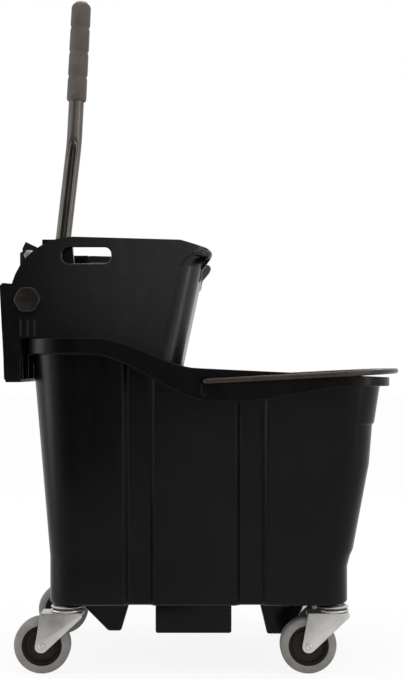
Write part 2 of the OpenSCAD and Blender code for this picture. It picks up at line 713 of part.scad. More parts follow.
module wringer_housing() color(black) difference() {
  union() {
    difference() {
      intersection() {
        tub_body(0, tub_low_z);
        under_top();
      }
      tub_body(tub_wall, tub_low_z + tub_wall);
      translate([hang_x - overrun, -cheek_in, back_top_z])
        cube([back_at(seat_z) + tub_r - hang_x, 2 * cheek_in, tub_rise]);
    }
    for (side = [-1, 1]) {
      cheek(side);
      rod_y(shaft_x, shaft_z, side < 0 ? -cheek_in - overrun : cheek_in - boss_in,
        side < 0 ? boss_in - cheek_in : cheek_in + overrun, bush_r + bush_wall);
    }
    hanger();
  }
  hand_hole();
  front_scoop();
  drain_slots();
  rod_y(shaft_x, shaft_z, -tub_half - overrun, tub_half + overrun, bush_r + run_gap);
}

// Bushes that carry the shaft in the cheeks
module shaft_bush(side) color(grey_rubber) difference() {
  union() {
    rod_y(shaft_x, shaft_z, side < 0 ? -tub_half : cheek_in - boss_in,
      side < 0 ? boss_in - cheek_in : tub_half, bush_r);
    rod_y(shaft_x, shaft_z, side < 0 ? -tub_half - bush_flange_t : tub_half,
      side < 0 ? -tub_half : tub_half + bush_flange_t, bush_r + bush_flange);
  }
  rod_y(shaft_x, shaft_z, -tub_half * 2, tub_half * 2, shaft_r + run_gap);
}
module shaft_bush_near() shaft_bush(-1);
module shaft_bush_far() shaft_bush(1);

// Press shaft and what is fixed to it
shaft_near_y = -nut_y - nut_t + nut_cap + seat_gap;
shaft_far_y = far_nut_y + nut_t - nut_cap - seat_gap;
module press_shaft() color(steel) rod_y(shaft_x, shaft_z, shaft_near_y, shaft_far_y, shaft_r);
module cap_nut(from, side) color(dark_steel) difference() {
  translate([shaft_x, side * (from + nut_t / 2), shaft_z]) rotate([90, 0, 0])
    cylinder(h = nut_t, d = nut_af / cos(30), center = true, $fn = 6);
  rod_y(shaft_x, shaft_z, shaft_near_y - seat_gap, shaft_far_y + seat_gap, shaft_r + run_gap);
}
module cap_nut_near() cap_nut(nut_y, -1);
module cap_nut_far() cap_nut(far_nut_y, 1);
module crank_arm(side) color(dark_steel) difference() {
  union() {
    along_y(side < 0 ? -arm_in - arm_t : arm_in, side < 0 ? -arm_in : arm_in + arm_t) polygon(concat(
      arc(shaft_x, shaft_z, arm_hub_r, 180, 360, corner_steps * 2),
      arc(shaft_x, shaft_z + throw, arm_end_r, 0, 90, corner_steps),
      [[shaft_x - arm_back, shaft_z + throw + arm_end_r / 3]]));
    if (side < 0) translate([tab_x, -arm_in - arm_t, shaft_z + spring_leg - tab_h]) {
      cube([tab_w, tab_reach, tab_h]);
      cube([tab_w + arm_back, arm_t, tab_h]);
    }
  }
  rod_y(shaft_x, shaft_z, -tub_half, tub_half, shaft_r + run_gap);
  rod_y(shaft_x, shaft_z + throw, -tub_half, tub_half, pin_d / 2 + run_gap);
}
module crank_arm_near() crank_arm(-1);
module crank_arm_far() crank_arm(1);
module crank_pin(side) color(zinc) {
  head = arm_in + arm_t + run_gap;
  inner = bracket_in - overrun;
  rod_y(shaft_x, shaft_z + throw, side < 0 ? -head - overrun : inner,
    side < 0 ? -inner : head + overrun, pin_d / 2);
  translate([shaft_x, side * (head + pin_head_t / 2), shaft_z + throw]) rotate([90, 0, 0])
    cylinder(h = pin_head_t, d = pin_head_d, center = true, $fn = 6);
}
module crank_pin_near() crank_pin(-1);
module crank_pin_far() crank_pin(1);

// Press plate, its push brackets and their screws
module press_outline(inset) {
  polygon([
    [press_back_x - inset, press_top_z - inset], [press_back_x - inset, back_top_z],
    [press_back_low_x - inset, press_low_z + inset], [press_front_low_x - inset, press_low_z + inset],
    [press_front_x - inset, press_top_z - inset]]);
}
module press_plate() color(black) {
  difference() {
    along_y(-press_half, press_half) press_outline(0);
    for (bay = [-1, 1]) along_y(
        bay < 0 ? press_wall - press_half : press_wall / 2,
        bay < 0 ? -press_wall / 2 : press_half - press_wall)
      press_outline(press_wall);
    bracket_screw_places()
      rod_y(0, 0, -press_half - overrun, press_half + overrun, bracket_screw_d / 2 + run_gap);
  }
  for (i = [0 : rib_count - 1]) {
    y = (i - (rib_count - 1) / 2) * (2 * press_half - rib_w * 2) / (rib_count - 1);
    high = press_top_z - rib_out * 4;
    low = press_low_z + rib_out * 4;
    along_y(y - rib_w / 2, y + rib_w / 2) polygon([
      [press_front_x - overrun, high], [press_front_x + rib_out / 4, high],
      [press_front_low_x + rib_out, low], [press_front_low_x - overrun, low]]);
  }
}
function slot_point(deg) = [
  shaft_x + throw * sin(deg) - travel_per_deg * deg, shaft_z + throw * cos(deg)];
module pin_slot() {
  for (i = [0 : slot_steps - 1]) {
    a = slot_point(swing_deg * i / slot_steps);
    b = slot_point(swing_deg * (i + 1) / slot_steps);
    polygon([[a[0] - slot_half, a[1]], [b[0] - slot_half, b[1]],
      [b[0] + slot_half, b[1]], [a[0] + slot_half, a[1]]]);
  }
  for (i = [0 : slot_steps]) translate(slot_point(swing_deg * i / slot_steps)) circle(slot_half);
}
bracket_low_z = slot_point(swing_deg)[1] - slot_half - arm_t;
bracket_top_z = shaft_z + throw + slot_half + arm_t;
bracket_back_x = shaft_x - slot_half - plate_room;
bracket_screw_z = [bracket_low_z + bracket_screw_d, bracket_top_z - bracket_screw_d];
tab_lean = 26;                                   // slope of a bracket's bent top, in degrees
tab_back = pin_d * sin(tab_lean);
tab_rise = pin_d * cos(tab_lean);
lap_x = press_back_x + bracket_lap;
module push_bracket(side) color(dark_steel) along_y(
    side < 0 ? -bracket_out : bracket_in, side < 0 ? -bracket_in : bracket_out) difference() {
  polygon([
    [press_back_x, bracket_top_z], [lap_x, bracket_top_z], [lap_x, bracket_low_z],
    [bracket_back_x + arm_t, bracket_low_z], [bracket_back_x, bracket_low_z + arm_t],
    [bracket_back_x, bracket_top_z], [bracket_back_x + tab_back, bracket_top_z + tab_rise],
    [press_back_x, bracket_top_z + tab_rise
      - (press_back_x - bracket_back_x - tab_back) * tan(tab_lean)]]);
  pin_slot();
  for (z = bracket_screw_z) translate([press_back_x + bracket_lap / 2, z])
    circle(bracket_screw_d / 2 + run_gap);
}
module push_bracket_near() push_bracket(-1);
module push_bracket_far() push_bracket(1);
module bracket_screw_places() {
  for (z = bracket_screw_z)
    translate([press_back_x + bracket_lap / 2, 0, z]) children();
}
module bracket_screws() color(zinc) for (side = [-1, 1]) bracket_screw_places() {
  rod_y(0, 0, side < 0 ? -press_half - overrun : bracket_in, side < 0 ? -bracket_in : press_half + overrun,
    bracket_screw_d / 2);
  translate([0, side * (press_half + screw_head_t / 2 + run_gap), 0]) rotate([90, 0, 0])
    cylinder(h = screw_head_t, d = screw_head_d, center = true, $fn = 6);
}

// Lever: hub on the shaft, bent tube and grip
module at_shaft_far() translate([shaft_x, lever_y, shaft_z]) children();
module along_lever() rotate([0, lean_low, 0]) children();
module at_bend() along_lever() translate([0, 0, lever_low]) rotate([0, lean_high - lean_low, 0]) children();
module lever_hub() color(dark_steel) difference() {
  union() {
    rod_y(shaft_x, shaft_z, hub_y, hub_y + hub_w, hub_boss_d / 2);
    at_shaft_far() along_lever() cylinder(h = socket_l, d = socket_d_out);
  }
  rod_y(shaft_x, shaft_z, hub_y - overrun, hub_y + hub_w + overrun, shaft_r + run_gap);
  at_shaft_far() along_lever() {
    translate([0, 0, hub_bore_start]) cylinder(h = socket_l, r = tube_d / 2 + run_gap);
    lever_bolt_places() rotate([90, 0, 0])
      cylinder(h = hub_w * 2, r = bracket_screw_d / 2 + run_gap, center = true);
  }
}
lever_bolt_shares = [0.55, 0.85];                // bolts along the socket
module lever_bolt_places() for (s = lever_bolt_shares) translate([0, 0, socket_l * s]) children();
module lever_bolts() color(zinc) at_shaft_far() along_lever() lever_bolt_places() for (side = [-1, 1]) {
  tip = tube_d / 2 + run_gap;
  face = socket_d_out / 2;
  rod_y(0, 0, side < 0 ? -face - overrun : tip, side < 0 ? -tip : face + overrun, bracket_screw_d / 2);
  translate([0, side * (face + screw_head_t / 2), 0]) rotate([90, 0, 0])
    cylinder(h = screw_head_t, d = screw_head_d, center = true, $fn = 6);
}
// The tube runs straight from the hub, round its bend, and straight into the grip
tube_sides = 24;
bend_r = bend_reach / tan((lean_low - lean_high) / 2);
function lever_way(deg, l) = [l * sin(deg), 0, l * cos(deg)];
function bend_point(deg) = lever_way(lean_low, lever_low - bend_reach)
  + bend_r * [cos(deg) - cos(lean_low), 0, sin(lean_low) - sin(deg)];
lever_path = concat(
  [lever_way(lean_low, hub_bore_start + seat_gap)],
  [for (i = [0 : corner_steps]) bend_point(lean_low + (lean_high - lean_low) * i / corner_steps)],
  [lever_way(lean_low, lever_low) + lever_way(lean_high, high_l)]);
module lever_tube() color(steel) at_shaft_far() {
  last = len(lever_path) - 1;
  skin = [for (i = [0 : last]) ring_at(lever_path, i, [0, 1, 0], tube_d / 2, tube_sides)];
  bore = [for (i = [last : -1 : 0]) ring_at(lever_path, i, [0, 1, 0], tube_d / 2 - tube_wall, tube_sides)];
  closed_loft(concat(skin, bore));
}
grip_part = grip_l / (grip_grooves + 1);
function grip_side(i) = let (low = i * grip_part, r = grip_d / 2) [
  [r - grip_waist / 2, low], [r, low + grip_round], [r - grip_waist / 4, low + grip_part / 2],
  [r - grip_waist, low + grip_part - grip_round]];
module at_grip() at_shaft_far() at_bend() translate([0, 0, lever_high - grip_l]) children();
module lever_grip() color(dark_steel) at_grip() difference() {
  tube_end = high_l - lever_high + grip_l + seat_gap;
  rotate_extrude() polygon(concat(
    [[0, 0]], [for (i = [0 : grip_grooves]) each grip_side(i)],
    [[grip_d / 2 - grip_round, grip_l], [0, grip_l]]));
  translate([0, 0, -overrun]) cylinder(h = tube_end + overrun, r = tube_d / 2 + run_gap);
}

// Return spring: one wire, a straight foot, the coil, and a straight leg against the near crank's tab
function turn_point(t) = let (a = 360 * t)
  [-coil_r * cos(a), coil_end_y + (spring_turns - t) * coil_pitch, coil_r * sin(a)];
coil_steps = spring_turns * coil_rings;
spring_path = concat(
  [[-coil_r, coil_end_y + spring_turns * coil_pitch, -spring_foot]],
  [for (i = [0 : coil_steps]) turn_point(i / coil_rings)],
  [[-coil_r, coil_end_y, spring_leg]]);
function spring_ring(i) = let (
    p = spring_path[i],
    at_end = i == 0 || i == len(spring_path) - 1,
    out = at_end ? [-1, 0, 0] : unit([p[0], 0, p[2]]))
  ring_at(spring_path, i, out, spring_wire / 2, coil_sides);
spring_clear = min([for (i = [0 : coil_steps], j = [0 : coil_steps]) if (j - i >= coil_rings - 2)
  norm(turn_point(i / coil_rings) - turn_point(j / coil_rings)) - spring_wire]);
module return_spring() color(zinc) translate([shaft_x, 0, shaft_z]) {
  echo(least_gap_in_return_spring = spring_clear);
  loft([for (i = [0 : len(spring_path) - 1]) spring_ring(i)]);
}

module caster_stem_left_near() caster_stem(0);
module caster_stem_left_far() caster_stem(1);
module caster_stem_right_near() caster_stem(2);
module caster_stem_right_far() caster_stem(3);
module swivel_washer_left_near() swivel_washer(0);
module swivel_washer_left_far() swivel_washer(1);
module swivel_washer_right_near() swivel_washer(2);
module swivel_washer_right_far() swivel_washer(3);
module sleeve_left_near() sleeve(0);
module sleeve_left_far() sleeve(1);
module sleeve_right_near() sleeve(2);
module sleeve_right_far() sleeve(3);
module fork_left_near() fork(0);
module fork_left_far() fork(1);
module fork_right_near() fork(2);
module fork_right_far() fork(3);
module axle_bolt_left_near() axle_bolt(0);
module axle_bolt_left_far() axle_bolt(1);
module axle_bolt_right_near() axle_bolt(2);
module axle_bolt_right_far() axle_bolt(3);
module hub_left_near() hub(0);
module hub_left_far() hub(1);
module hub_right_near() hub(2);
module hub_right_far() hub(3);
module tyre_left_near() tyre(0);
module tyre_left_far() tyre(1);
module tyre_right_near() tyre(2);
module tyre_right_far() tyre(3);

bucket_shell();
bail_ear_near();
bail_ear_far();
bail_wire();
caster_stem_left_near();
caster_stem_left_far();
caster_stem_right_near();
caster_stem_right_far();
swivel_washer_left_near();
swivel_washer_left_far();
swivel_washer_right_near();
swivel_washer_right_far();
sleeve_left_near();
sleeve_left_far();
sleeve_right_near();
sleeve_right_far();
fork_left_near();
fork_left_far();
fork_right_near();
fork_right_far();
axle_bolt_left_near();
axle_bolt_left_far();
axle_bolt_right_near();
axle_bolt_right_far();
hub_left_near();
hub_left_far();
hub_right_near();
hub_right_far();
tyre_left_near();
tyre_left_far();
tyre_right_near();
tyre_right_far();
wringer_housing();
shaft_bush_near();
shaft_bush_far();
return_spring();
press_shaft();
cap_nut_near();
cap_nut_far();
crank_arm_near();
crank_arm_far();
crank_pin_near();
crank_pin_far();
lever_hub();
lever_bolts();
lever_tube();
lever_grip();
press_plate();
push_bracket_near();
push_bracket_far();
bracket_screws();
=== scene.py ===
"""A mop bucket on casters with a side press wringer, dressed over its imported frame."""
import json
import math

import bmesh
import bpy
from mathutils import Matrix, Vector


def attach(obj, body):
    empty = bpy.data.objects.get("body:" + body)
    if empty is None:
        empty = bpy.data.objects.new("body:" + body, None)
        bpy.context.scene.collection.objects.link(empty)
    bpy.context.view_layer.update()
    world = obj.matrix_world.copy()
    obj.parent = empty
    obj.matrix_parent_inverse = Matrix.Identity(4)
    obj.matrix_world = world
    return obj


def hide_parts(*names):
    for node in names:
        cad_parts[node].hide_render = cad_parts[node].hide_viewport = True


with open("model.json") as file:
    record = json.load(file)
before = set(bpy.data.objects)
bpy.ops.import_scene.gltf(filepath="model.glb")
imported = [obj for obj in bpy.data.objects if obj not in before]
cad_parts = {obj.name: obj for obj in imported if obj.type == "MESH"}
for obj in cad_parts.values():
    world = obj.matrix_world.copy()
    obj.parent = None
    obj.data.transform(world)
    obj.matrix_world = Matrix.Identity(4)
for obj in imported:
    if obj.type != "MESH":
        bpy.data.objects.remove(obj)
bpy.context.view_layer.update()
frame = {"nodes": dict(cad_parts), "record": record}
nodes = frame["nodes"]
MM = 0.001

# The photograph's height and horizon, its lens and the place it was taken from
PHOTO_H = 679
FOCAL_PX = 1342
HORIZON_PX = 370
SENSOR_MM = 36
CAMERA_PLACE = (0.0, -1.95, 0.408)

# Corners of the object, in the order of the casters' names
CORNERS = ("left_near", "left_far", "right_near", "right_far")


# Modelling by hand: picking, editing and finishing
# How straight up a top face must look, and how near two places must be to count as one, in millimetres
FACING = 0.9
CLOSE = 0.01


def close():
    """Leave edit mode."""
    bpy.ops.object.mode_set(mode="OBJECT")


def clear():
    """Leave edit mode and deselect everything."""
    if bpy.context.object and bpy.context.object.mode != "OBJECT":
        close()
    bpy.ops.object.select_all(action="DESELECT")


def take(*objects):
    """Select these objects alone; the first is the active one."""
    clear()
    for obj in objects:
        obj.select_set(True)
    bpy.context.view_layer.objects.active = objects[0]


def select_all():
    bpy.ops.mesh.select_all(action="SELECT")


def move(x, y, z):
    """Move what is selected, in millimetres."""
    bpy.ops.transform.translate(value=(x * MM, y * MM, z * MM))


def edit(obj):
    """Open an object for editing with all of it selected."""
    take(obj)
    bpy.ops.object.mode_set(mode="EDIT")
    bpy.ops.mesh.select_mode(type="VERT")
    select_all()


def opened():
    """The object just added, opened for editing."""
    obj = bpy.context.object
    edit(obj)
    return obj


def reach_of(edge, axis):
    """How far an edge reaches along an axis, in millimetres."""
    first, second = edge.verts
    return abs(getattr(first.co, axis) - getattr(second.co, axis)) / MM


def pick(obj, kind, test):
    """In edit mode, select the vertices, edges or faces that pass a test."""
    bpy.ops.mesh.select_mode(type=kind)
    bpy.ops.mesh.select_all(action="DESELECT")
    shape = bmesh.from_edit_mesh(obj.data)
    parts = {"VERT": shape.verts, "EDGE": shape.edges, "FACE": shape.faces}[kind]
    for part in parts:
        if test(part):
            part.select_set(True)
    shape.select_flush_mode()
    bmesh.update_edit_mesh(obj.data)


def each_point(obj, picked=False):
    """Every point of an open mesh, or the picked ones; the mesh is brought up to date after the last."""
    shape = bmesh.from_edit_mesh(obj.data)
    for v in shape.verts:
        if v.select or not picked:
            yield v
    bmesh.update_edit_mesh(obj.data)


def modify(obj, kind, **settings):
    """Add a modifier and apply it."""
    take(obj)
    modifier = obj.modifiers.new(kind.lower(), kind)
    for name, value in settings.items():
        setattr(modifier, name, value)
    bpy.ops.object.modifier_apply(modifier=modifier.name)


def soften(obj, width, segments=3, angle=32):
    """Round the sharp edges of a moulded or pressed piece, by a width in millimetres."""
    modify(obj, "BEVEL", width=width * MM, segments=segments, limit_method="ANGLE",
           angle_limit=math.radians(angle), use_clamp_overlap=True, miter_outer="MITER_ARC")


def cut_away(obj, cutter):
    """Take a cutter's form out of a piece, and the cutter out of the scene."""
    modify(obj, "BOOLEAN", operation="DIFFERENCE", object=cutter, solver="EXACT")
    bpy.data.objects.remove(cutter)


def settle(obj, angle=35):
    """Apply the object's place to its mesh, turn the faces outwards and shade them."""
    take(obj)
    bpy.ops.object.transform_apply(location=True, rotation=True, scale=True)
    bpy.ops.object.mode_set(mode="EDIT")
    select_all()
    bpy.ops.mesh.normals_make_consistent(inside=False)
    close()
    bpy.ops.object.shade_smooth_by_angle(angle=math.radians(angle))


def join(first, *others):
    """Make one settled piece of several."""
    take(first, *others)
    bpy.ops.object.join()
    settle(first)


def even_shading(obj):
    """Let the large flat faces set the shading of the rounded edges beside them."""
    modify(obj, "WEIGHTED_NORMAL", keep_sharp=True, weight=80)


def dress(obj, name, slot, body, *replaced, finish=None):
    """Name a finished piece, give it its material and hang it on its body."""
    obj.name = name
    obj.data.name = name
    obj.data.materials.clear()
    obj.data.materials.append(FINISHES[finish or slot])
    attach(obj, body)
    if replaced:
        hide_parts(*replaced)


def copy_of(node):
    """A copy of a frame piece as one closed mesh, with its flat faces joined again."""
    take(nodes[node])
    bpy.ops.object.duplicate()
    obj = bpy.context.object
    obj.parent = None
    for key in list(obj.keys()):
        del obj[key]
    edit(obj)
    bpy.ops.mesh.remove_doubles(threshold=0.00001)
    bpy.ops.mesh.dissolve_limited(angle_limit=math.radians(0.4))
    close()
    return obj


# Finishes
class Finish:
    """A material in the making: its nodes and the shader that they feed."""

    def __init__(self, name, **sockets):
        self.material = bpy.data.materials.new(name)
        self.material.use_nodes = True
        self.tree = self.material.node_tree
        self.shader = self.tree.nodes["Principled BSDF"]
        self.place = self.add("ShaderNodeTexCoord").outputs["Object"]
        for socket, value in sockets.items():
            self.shader.inputs[socket.replace("_", " ")].default_value = value

    def add(self, kind, **settings):
        node = self.tree.nodes.new(kind)
        for name, value in settings.items():
            setattr(node, name, value)
        return node

    def link(self, output, socket):
        self.tree.links.new(output, socket)

    def noise(self, scale, detail=4.0, rough=0.55, stretch=(1, 1, 1)):
        """Noise in the object's own space, with as many cells a metre as the scale says."""
        spread = self.add("ShaderNodeMapping")
        spread.inputs["Scale"].default_value = stretch
        self.link(self.place, spread.inputs["Vector"])
        field = self.add("ShaderNodeTexNoise")
        field.inputs["Scale"].default_value = scale
        field.inputs["Detail"].default_value = detail
        field.inputs["Roughness"].default_value = rough
        self.link(spread.outputs["Vector"], field.inputs["Vector"])
        return field.outputs["Fac"]

    def remap(self, value, low, high, to_low=0.0, to_high=1.0):
        """The part of a value between two limits, stretched to two others."""
        node = self.add("ShaderNodeMapRange", interpolation_type="SMOOTHSTEP")
        for socket, number in zip(("From Min", "From Max", "To Min", "To Max"), (low, high, to_low, to_high)):
            node.inputs[socket].default_value = number
        self.link(value, node.inputs["Value"])
        return node.outputs["Result"]

    def blend(self, share, first, second):
        """A colour between two, which are colours or outputs."""
        node = self.add("ShaderNodeMix", data_type="RGBA")
        self.link(share, node.inputs["Factor"])
        for socket, colour in ((node.inputs[6], first), (node.inputs[7], second)):
            if isinstance(colour, tuple):
                socket.default_value = (*colour, 1)
            else:
                self.link(colour, socket)
        return node.outputs[2]

    def colour(self, output):
        self.link(output, self.shader.inputs["Base Color"])

    def gloss(self, value, low, high, to_low, to_high):
        self.link(self.remap(value, low, high, to_low, to_high), self.shader.inputs["Roughness"])

    def relief(self, *layers):
        """Bumps on top of each other: a height, its depth in metres and its strength."""
        below = None
        for height, depth, strength in layers:
            bump = self.add("ShaderNodeBump")
            bump.inputs["Distance"].default_value = depth
            bump.inputs["Strength"].default_value = strength
            self.link(height, bump.inputs["Height"])
            if below:
                self.link(below, bump.inputs["Normal"])
            below = bump.outputs["Normal"]
        self.link(below, self.shader.inputs["Normal"])


def moulded_black(name, low, high, shine):
    """Satin black plastic: a fine spark grain, a slow swell in the walls and a few pale scuffs."""
    f = Finish(name, Specular_IOR_Level=shine)
    swell = f.noise(7, 2)
    grain = f.noise(1500, 2)
    scuff = f.noise(60, 6, 0.7, (1, 1, 0.35))
    tone = f.blend(f.remap(swell, 0.35, 0.65), (low, low, low), (high, high, high))
    f.colour(f.blend(f.remap(scuff, 0.66, 0.8, 0, 0.4), tone, (0.014, 0.014, 0.014)))
    f.gloss(scuff, 0.3, 0.75, 0.25, 0.34)
    f.relief((swell, 0.002, 0.25), (grain, 0.00006, 0.35))
    return f.material


def lever_coat():
    """Grey brown satin coat on the lever's tube, with a fine drawn grain along it."""
    f = Finish("lever_coat", Metallic=0.8, Specular_IOR_Level=0.25)
    grain = f.noise(260, 4, 0.6, (1, 1, 0.06))
    cloud = f.noise(24, 3)
    tone = f.blend(f.remap(cloud, 0.3, 0.7), (0.092, 0.082, 0.073), (0.118, 0.106, 0.095))
    f.colour(f.blend(f.remap(grain, 0.35, 0.7, 0, 0.35), tone, (0.155, 0.142, 0.13)))
    f.gloss(grain, 0.3, 0.7, 0.28, 0.4)
    f.relief((grain, 0.00003, 0.25))
    return f.material


CLOUD_RANGE = (0.3, 0.7)


def clouded(name, cloud, grain, tones, gloss, relief, shine=0.5, metal=0.0, tone_range=CLOUD_RANGE):
    """A finish whose tone and gloss wander between two limits, under a fine grain."""
    f = Finish(name, Metallic=metal, Specular_IOR_Level=shine)
    field = f.noise(*cloud)
    f.colour(f.blend(f.remap(field, *tone_range), *tones))
    f.gloss(field, *CLOUD_RANGE, *gloss)
    f.relief((f.noise(*grain), *relief))
    return f.material


TURNING_MARKS = (700, 3, 0.6, (1, 0.08, 1))
FINISHES = {
    "black_plastic": moulded_black("moulded_black", 0.0012, 0.0022, 0.13),
    "wringer_plastic": moulded_black("wringer_black", 0.0012, 0.0024, 0.34),
    "bronze_wire": clouded(
        "bronze_coat", cloud=(80, 4), grain=(900, 2), gloss=(0.3, 0.44), relief=(0.00004, 0.25),
        tones=((0.026, 0.0195, 0.016), (0.044, 0.034, 0.028)), metal=0.5, shine=0.3),
    "bush_plastic": clouded(
        "bearing_plastic", cloud=(90, 4), grain=(1200, 2), gloss=(0.42, 0.55), relief=(0.00005, 0.3),
        tones=((0.28, 0.27, 0.25), (0.36, 0.35, 0.33)), shine=0.4),
    # Zinc plated pressed steel: bright, a little cloudy, with fine rolling marks
    "zinc_steel": clouded(
        "bright_zinc", cloud=(55, 4), grain=(420, 3, 0.6, (1, 1, 0.12)), gloss=(0.38, 0.48),
        relief=(0.00003, 0.25), tones=((0.5, 0.49, 0.467), (0.595, 0.58, 0.557)), metal=1.0),
    # Drawn steel bar with turning marks
    "shaft_steel": clouded(
        "plain_steel", cloud=TURNING_MARKS, grain=TURNING_MARKS, gloss=(0.28, 0.42), relief=(0.00003, 0.3),
        tones=((0.30, 0.29, 0.27), (0.45, 0.43, 0.41)), metal=1.0),
    "dark_steel": clouded(
        "dark_coat", cloud=(90, 5), grain=(900, 2), gloss=(0.34, 0.5), relief=(0.00005, 0.3),
        tones=((0.009, 0.0066, 0.0053), (0.0165, 0.0125, 0.0102)), metal=0.1, shine=0.2),
    "lever_steel": lever_coat(),
    "grip_rubber": clouded(
        "grip_rubber", cloud=(40, 4), grain=(1700, 2), gloss=(0.5, 0.64), relief=(0.00007, 0.4),
        tones=((0.068, 0.057, 0.05), (0.094, 0.08, 0.07)), shine=0.25),
    "hub_plastic": clouded(
        "brown_hub", cloud=(60, 4), grain=(1400, 2), gloss=(0.38, 0.5), relief=(0.00005, 0.3),
        tones=((0.0085, 0.0062, 0.005), (0.0145, 0.011, 0.009)), shine=0.18),
    # Grey non-marking rubber, a little dusty
    "tread": clouded(
        "grey_tread", cloud=(70, 5), grain=(1300, 2), gloss=(0.55, 0.72), relief=(0.00008, 0.4),
        tones=((0.175, 0.165, 0.154), (0.225, 0.214, 0.2)), tone_range=(0.3, 0.72), shine=0.3),
}


def dress_frame():
    """Give each frame piece that stays its finish."""
    for part in frame["record"]["subparts"]:
        mesh = nodes[part["node"]].data
        mesh.materials.clear()
        mesh.materials.append(FINISHES[part["material_slot"]])


# Bucket: its sizes are in millimetres, as in the frame
BASE_Z = 93.3
STRAIGHT_Z = 157.3
STEP_Z = 335.0
SHOULDER_Z = 389.3
WALL = 4.0
BASE_BEVEL = 3.0
SHELL_ROUND = 2.4
CORNER_STEPS = 10
# The walls' left end, right end, half width and corner radius, each at the base and at the shoulder
LEFT_END = (206, 226)
RIGHT_END = (198, 242)
HALF_WIDTH = (163, 180)
CORNER_R = (36, 56)
# The step in the right end, and how far it runs down and up from its height
END_STEP = 2.5
STEP_DOWN = 0.5
STEP_UP = 1.5
# The right wall's fullness: how far it stands out at its most and at the base, and the heights that bound it
FULL_OUT = 7.6
FULL_BASE = 1.5
FULL_LOW = 143.0
FULL_FROM = 166.0
FULL_TO = 282.0
FULL_HIGH = 352.0
# The rim's outline, and the heights of its top and of its skirt at the wringer
RIM_PLAN = (-239.3, 254.4, 192.5, 69.2)
RIM_HIGH = 450.3
SKIRT_HIGH = 429.3
# Changes of those heights along the bucket: how much, from where and over what length
RIM_FALL = (40.0, -140.0, 138.0)
RIM_SLOPE = (12.0, -2.0, 253.7)
SKIRT_FALL = (62.8, -149.0, 166.0)
SKIRT_RISE = (20.0, 48.5, 156.0)
# Grooves in the long walls, and the places along them at which every ring has a point
GROOVES = (-84.0, 66.0)
GROOVE_HALF = 17.5
GROOVE_DEEP = 7.0
GROOVE_SLANT = 3.5
SIDE_CUTS = (-160, -150, -139, -128, -116, -50, -38, -26, -14, -2, 10, 22, 34, 99, 111, 123, 135, 146, 156)
# Stem sockets on the floor
STEM_PLACES = ((-182, -138), (-182, 138), (176, -138), (176, 138))
SOCKET_R = 15.0
SOCKET_TOP = 133.0
SOCKET_DRAFT = 1.0
SOCKET_LIFT = 0.5
SOCKET_WALL = 6.0
SOCKET_DISH = 1.5
SOCKET_ROUND = 1.2
# Feet: left and right end of the sole, of the top, the half width and the sole's height
FEET = (
    (-63, 40, -63, 40, 133, 51.3),
    (-131, -113, -184, -98, 75, 43.3),
    (91, 125, 78, 150, 75, 39.0),
)
FOOT_ROUND = 3.0
FOOT_SINK = 0.5
POCKET_OVER = 1.0


def ease(t):
    """A smooth way from 0 to 1."""
    t = min(1.0, max(0.0, t))
    return t * t * (3 - 2 * t)


def part_way(value, start, end):
    """How far a value has come from a start to an end, between 0 and 1."""
    return min(1.0, max(0.0, (value - start) / (end - start)))


def change_at(x, size, start, length):
    """How much of a change of height is reached at a place along the bucket."""
    return size * ease((x - start) / length)


def rim_top(x):
    """Height of the rim: high at the wringer, falling to the front."""
    fall, start, length = RIM_SLOPE
    return RIM_HIGH - change_at(x, *RIM_FALL) - fall * max(0.0, (x - start) / length)


def skirt_low(x):
    """Lower edge of the rim's skirt."""
    return SKIRT_HIGH - change_at(x, *SKIRT_FALL) + change_at(x, *SKIRT_RISE)


def at_height(z, low, high):
    return low + (high - low) * max(0.0, (z - STRAIGHT_Z) / (SHOULDER_Z - STRAIGHT_Z))


def fullness(z):
    """How far the right wall stands out from its straight slope."""
    held_back = (FULL_OUT - FULL_BASE) * part_way(z, FULL_FROM, FULL_LOW)
    return FULL_OUT * part_way(z, FULL_HIGH, FULL_TO) - held_back


def wall_plan(z, inset=0.0):
    """Left end, right end, half width and corner radius of the walls at a height."""
    step = END_STEP if z < STEP_Z else 0.0
    right = at_height(z, *RIGHT_END) + fullness(z) - inset - step
    return (-at_height(z, *LEFT_END) + inset, right,
            at_height(z, *HALF_WIDTH) - inset, at_height(z, *CORNER_R) - inset)


def inner_plan(z):
    return wall_plan(z, WALL)


def sole_plan(z):
    return wall_plan(z, BASE_BEVEL)


def rim_plan(z):
    """The rim's outline, which is the same at every height."""
    return RIM_PLAN


def level(z):
    """A height that is the same all along the bucket."""
    return lambda x: z


def groove_at(x):
    """How far a groove is cut in at a place along a long wall."""
    for middle in GROOVES:
        if abs(x - middle) < GROOVE_HALF:
            return GROOVE_DEEP
    return 0.0


def side_cuts():
    """Places along the long walls at which every ring has a point."""
    cuts = list(SIDE_CUTS)
    for middle in GROOVES:
        cuts.append(middle)
        for side in (-1, 1):
            edge = middle + side * GROOVE_HALF
            cuts += [edge - GROOVE_SLANT, edge + GROOVE_SLANT]
    return sorted(cuts)


def seat_of(place, plan):
    """Which point of a rounded outline this is: a corner's angle or a place along a long wall."""
    left, right, half, radius = plan
    side = 1 if place.y > 0 else -1
    for end, middle in ((1, right - radius), (-1, left + radius)):
        if (place.x - middle) * end > -CLOSE:
            angle = math.atan2(place.y - side * (half - radius), place.x - middle)
            return ("corner", end, side, angle)
    return ("wall", place.x, side, 0)


def seat_place(seat, plan, grooved):
    """Where that point is on another outline."""
    left, right, half, radius = plan
    kind, where, side, angle = seat
    if kind == "wall":
        cut = groove_at(where) if grooved else 0.0
        return where, side * (half - cut)
    middle = right - radius if where > 0 else left + radius
    return middle + radius * math.cos(angle), side * (half - radius) + radius * math.sin(angle)


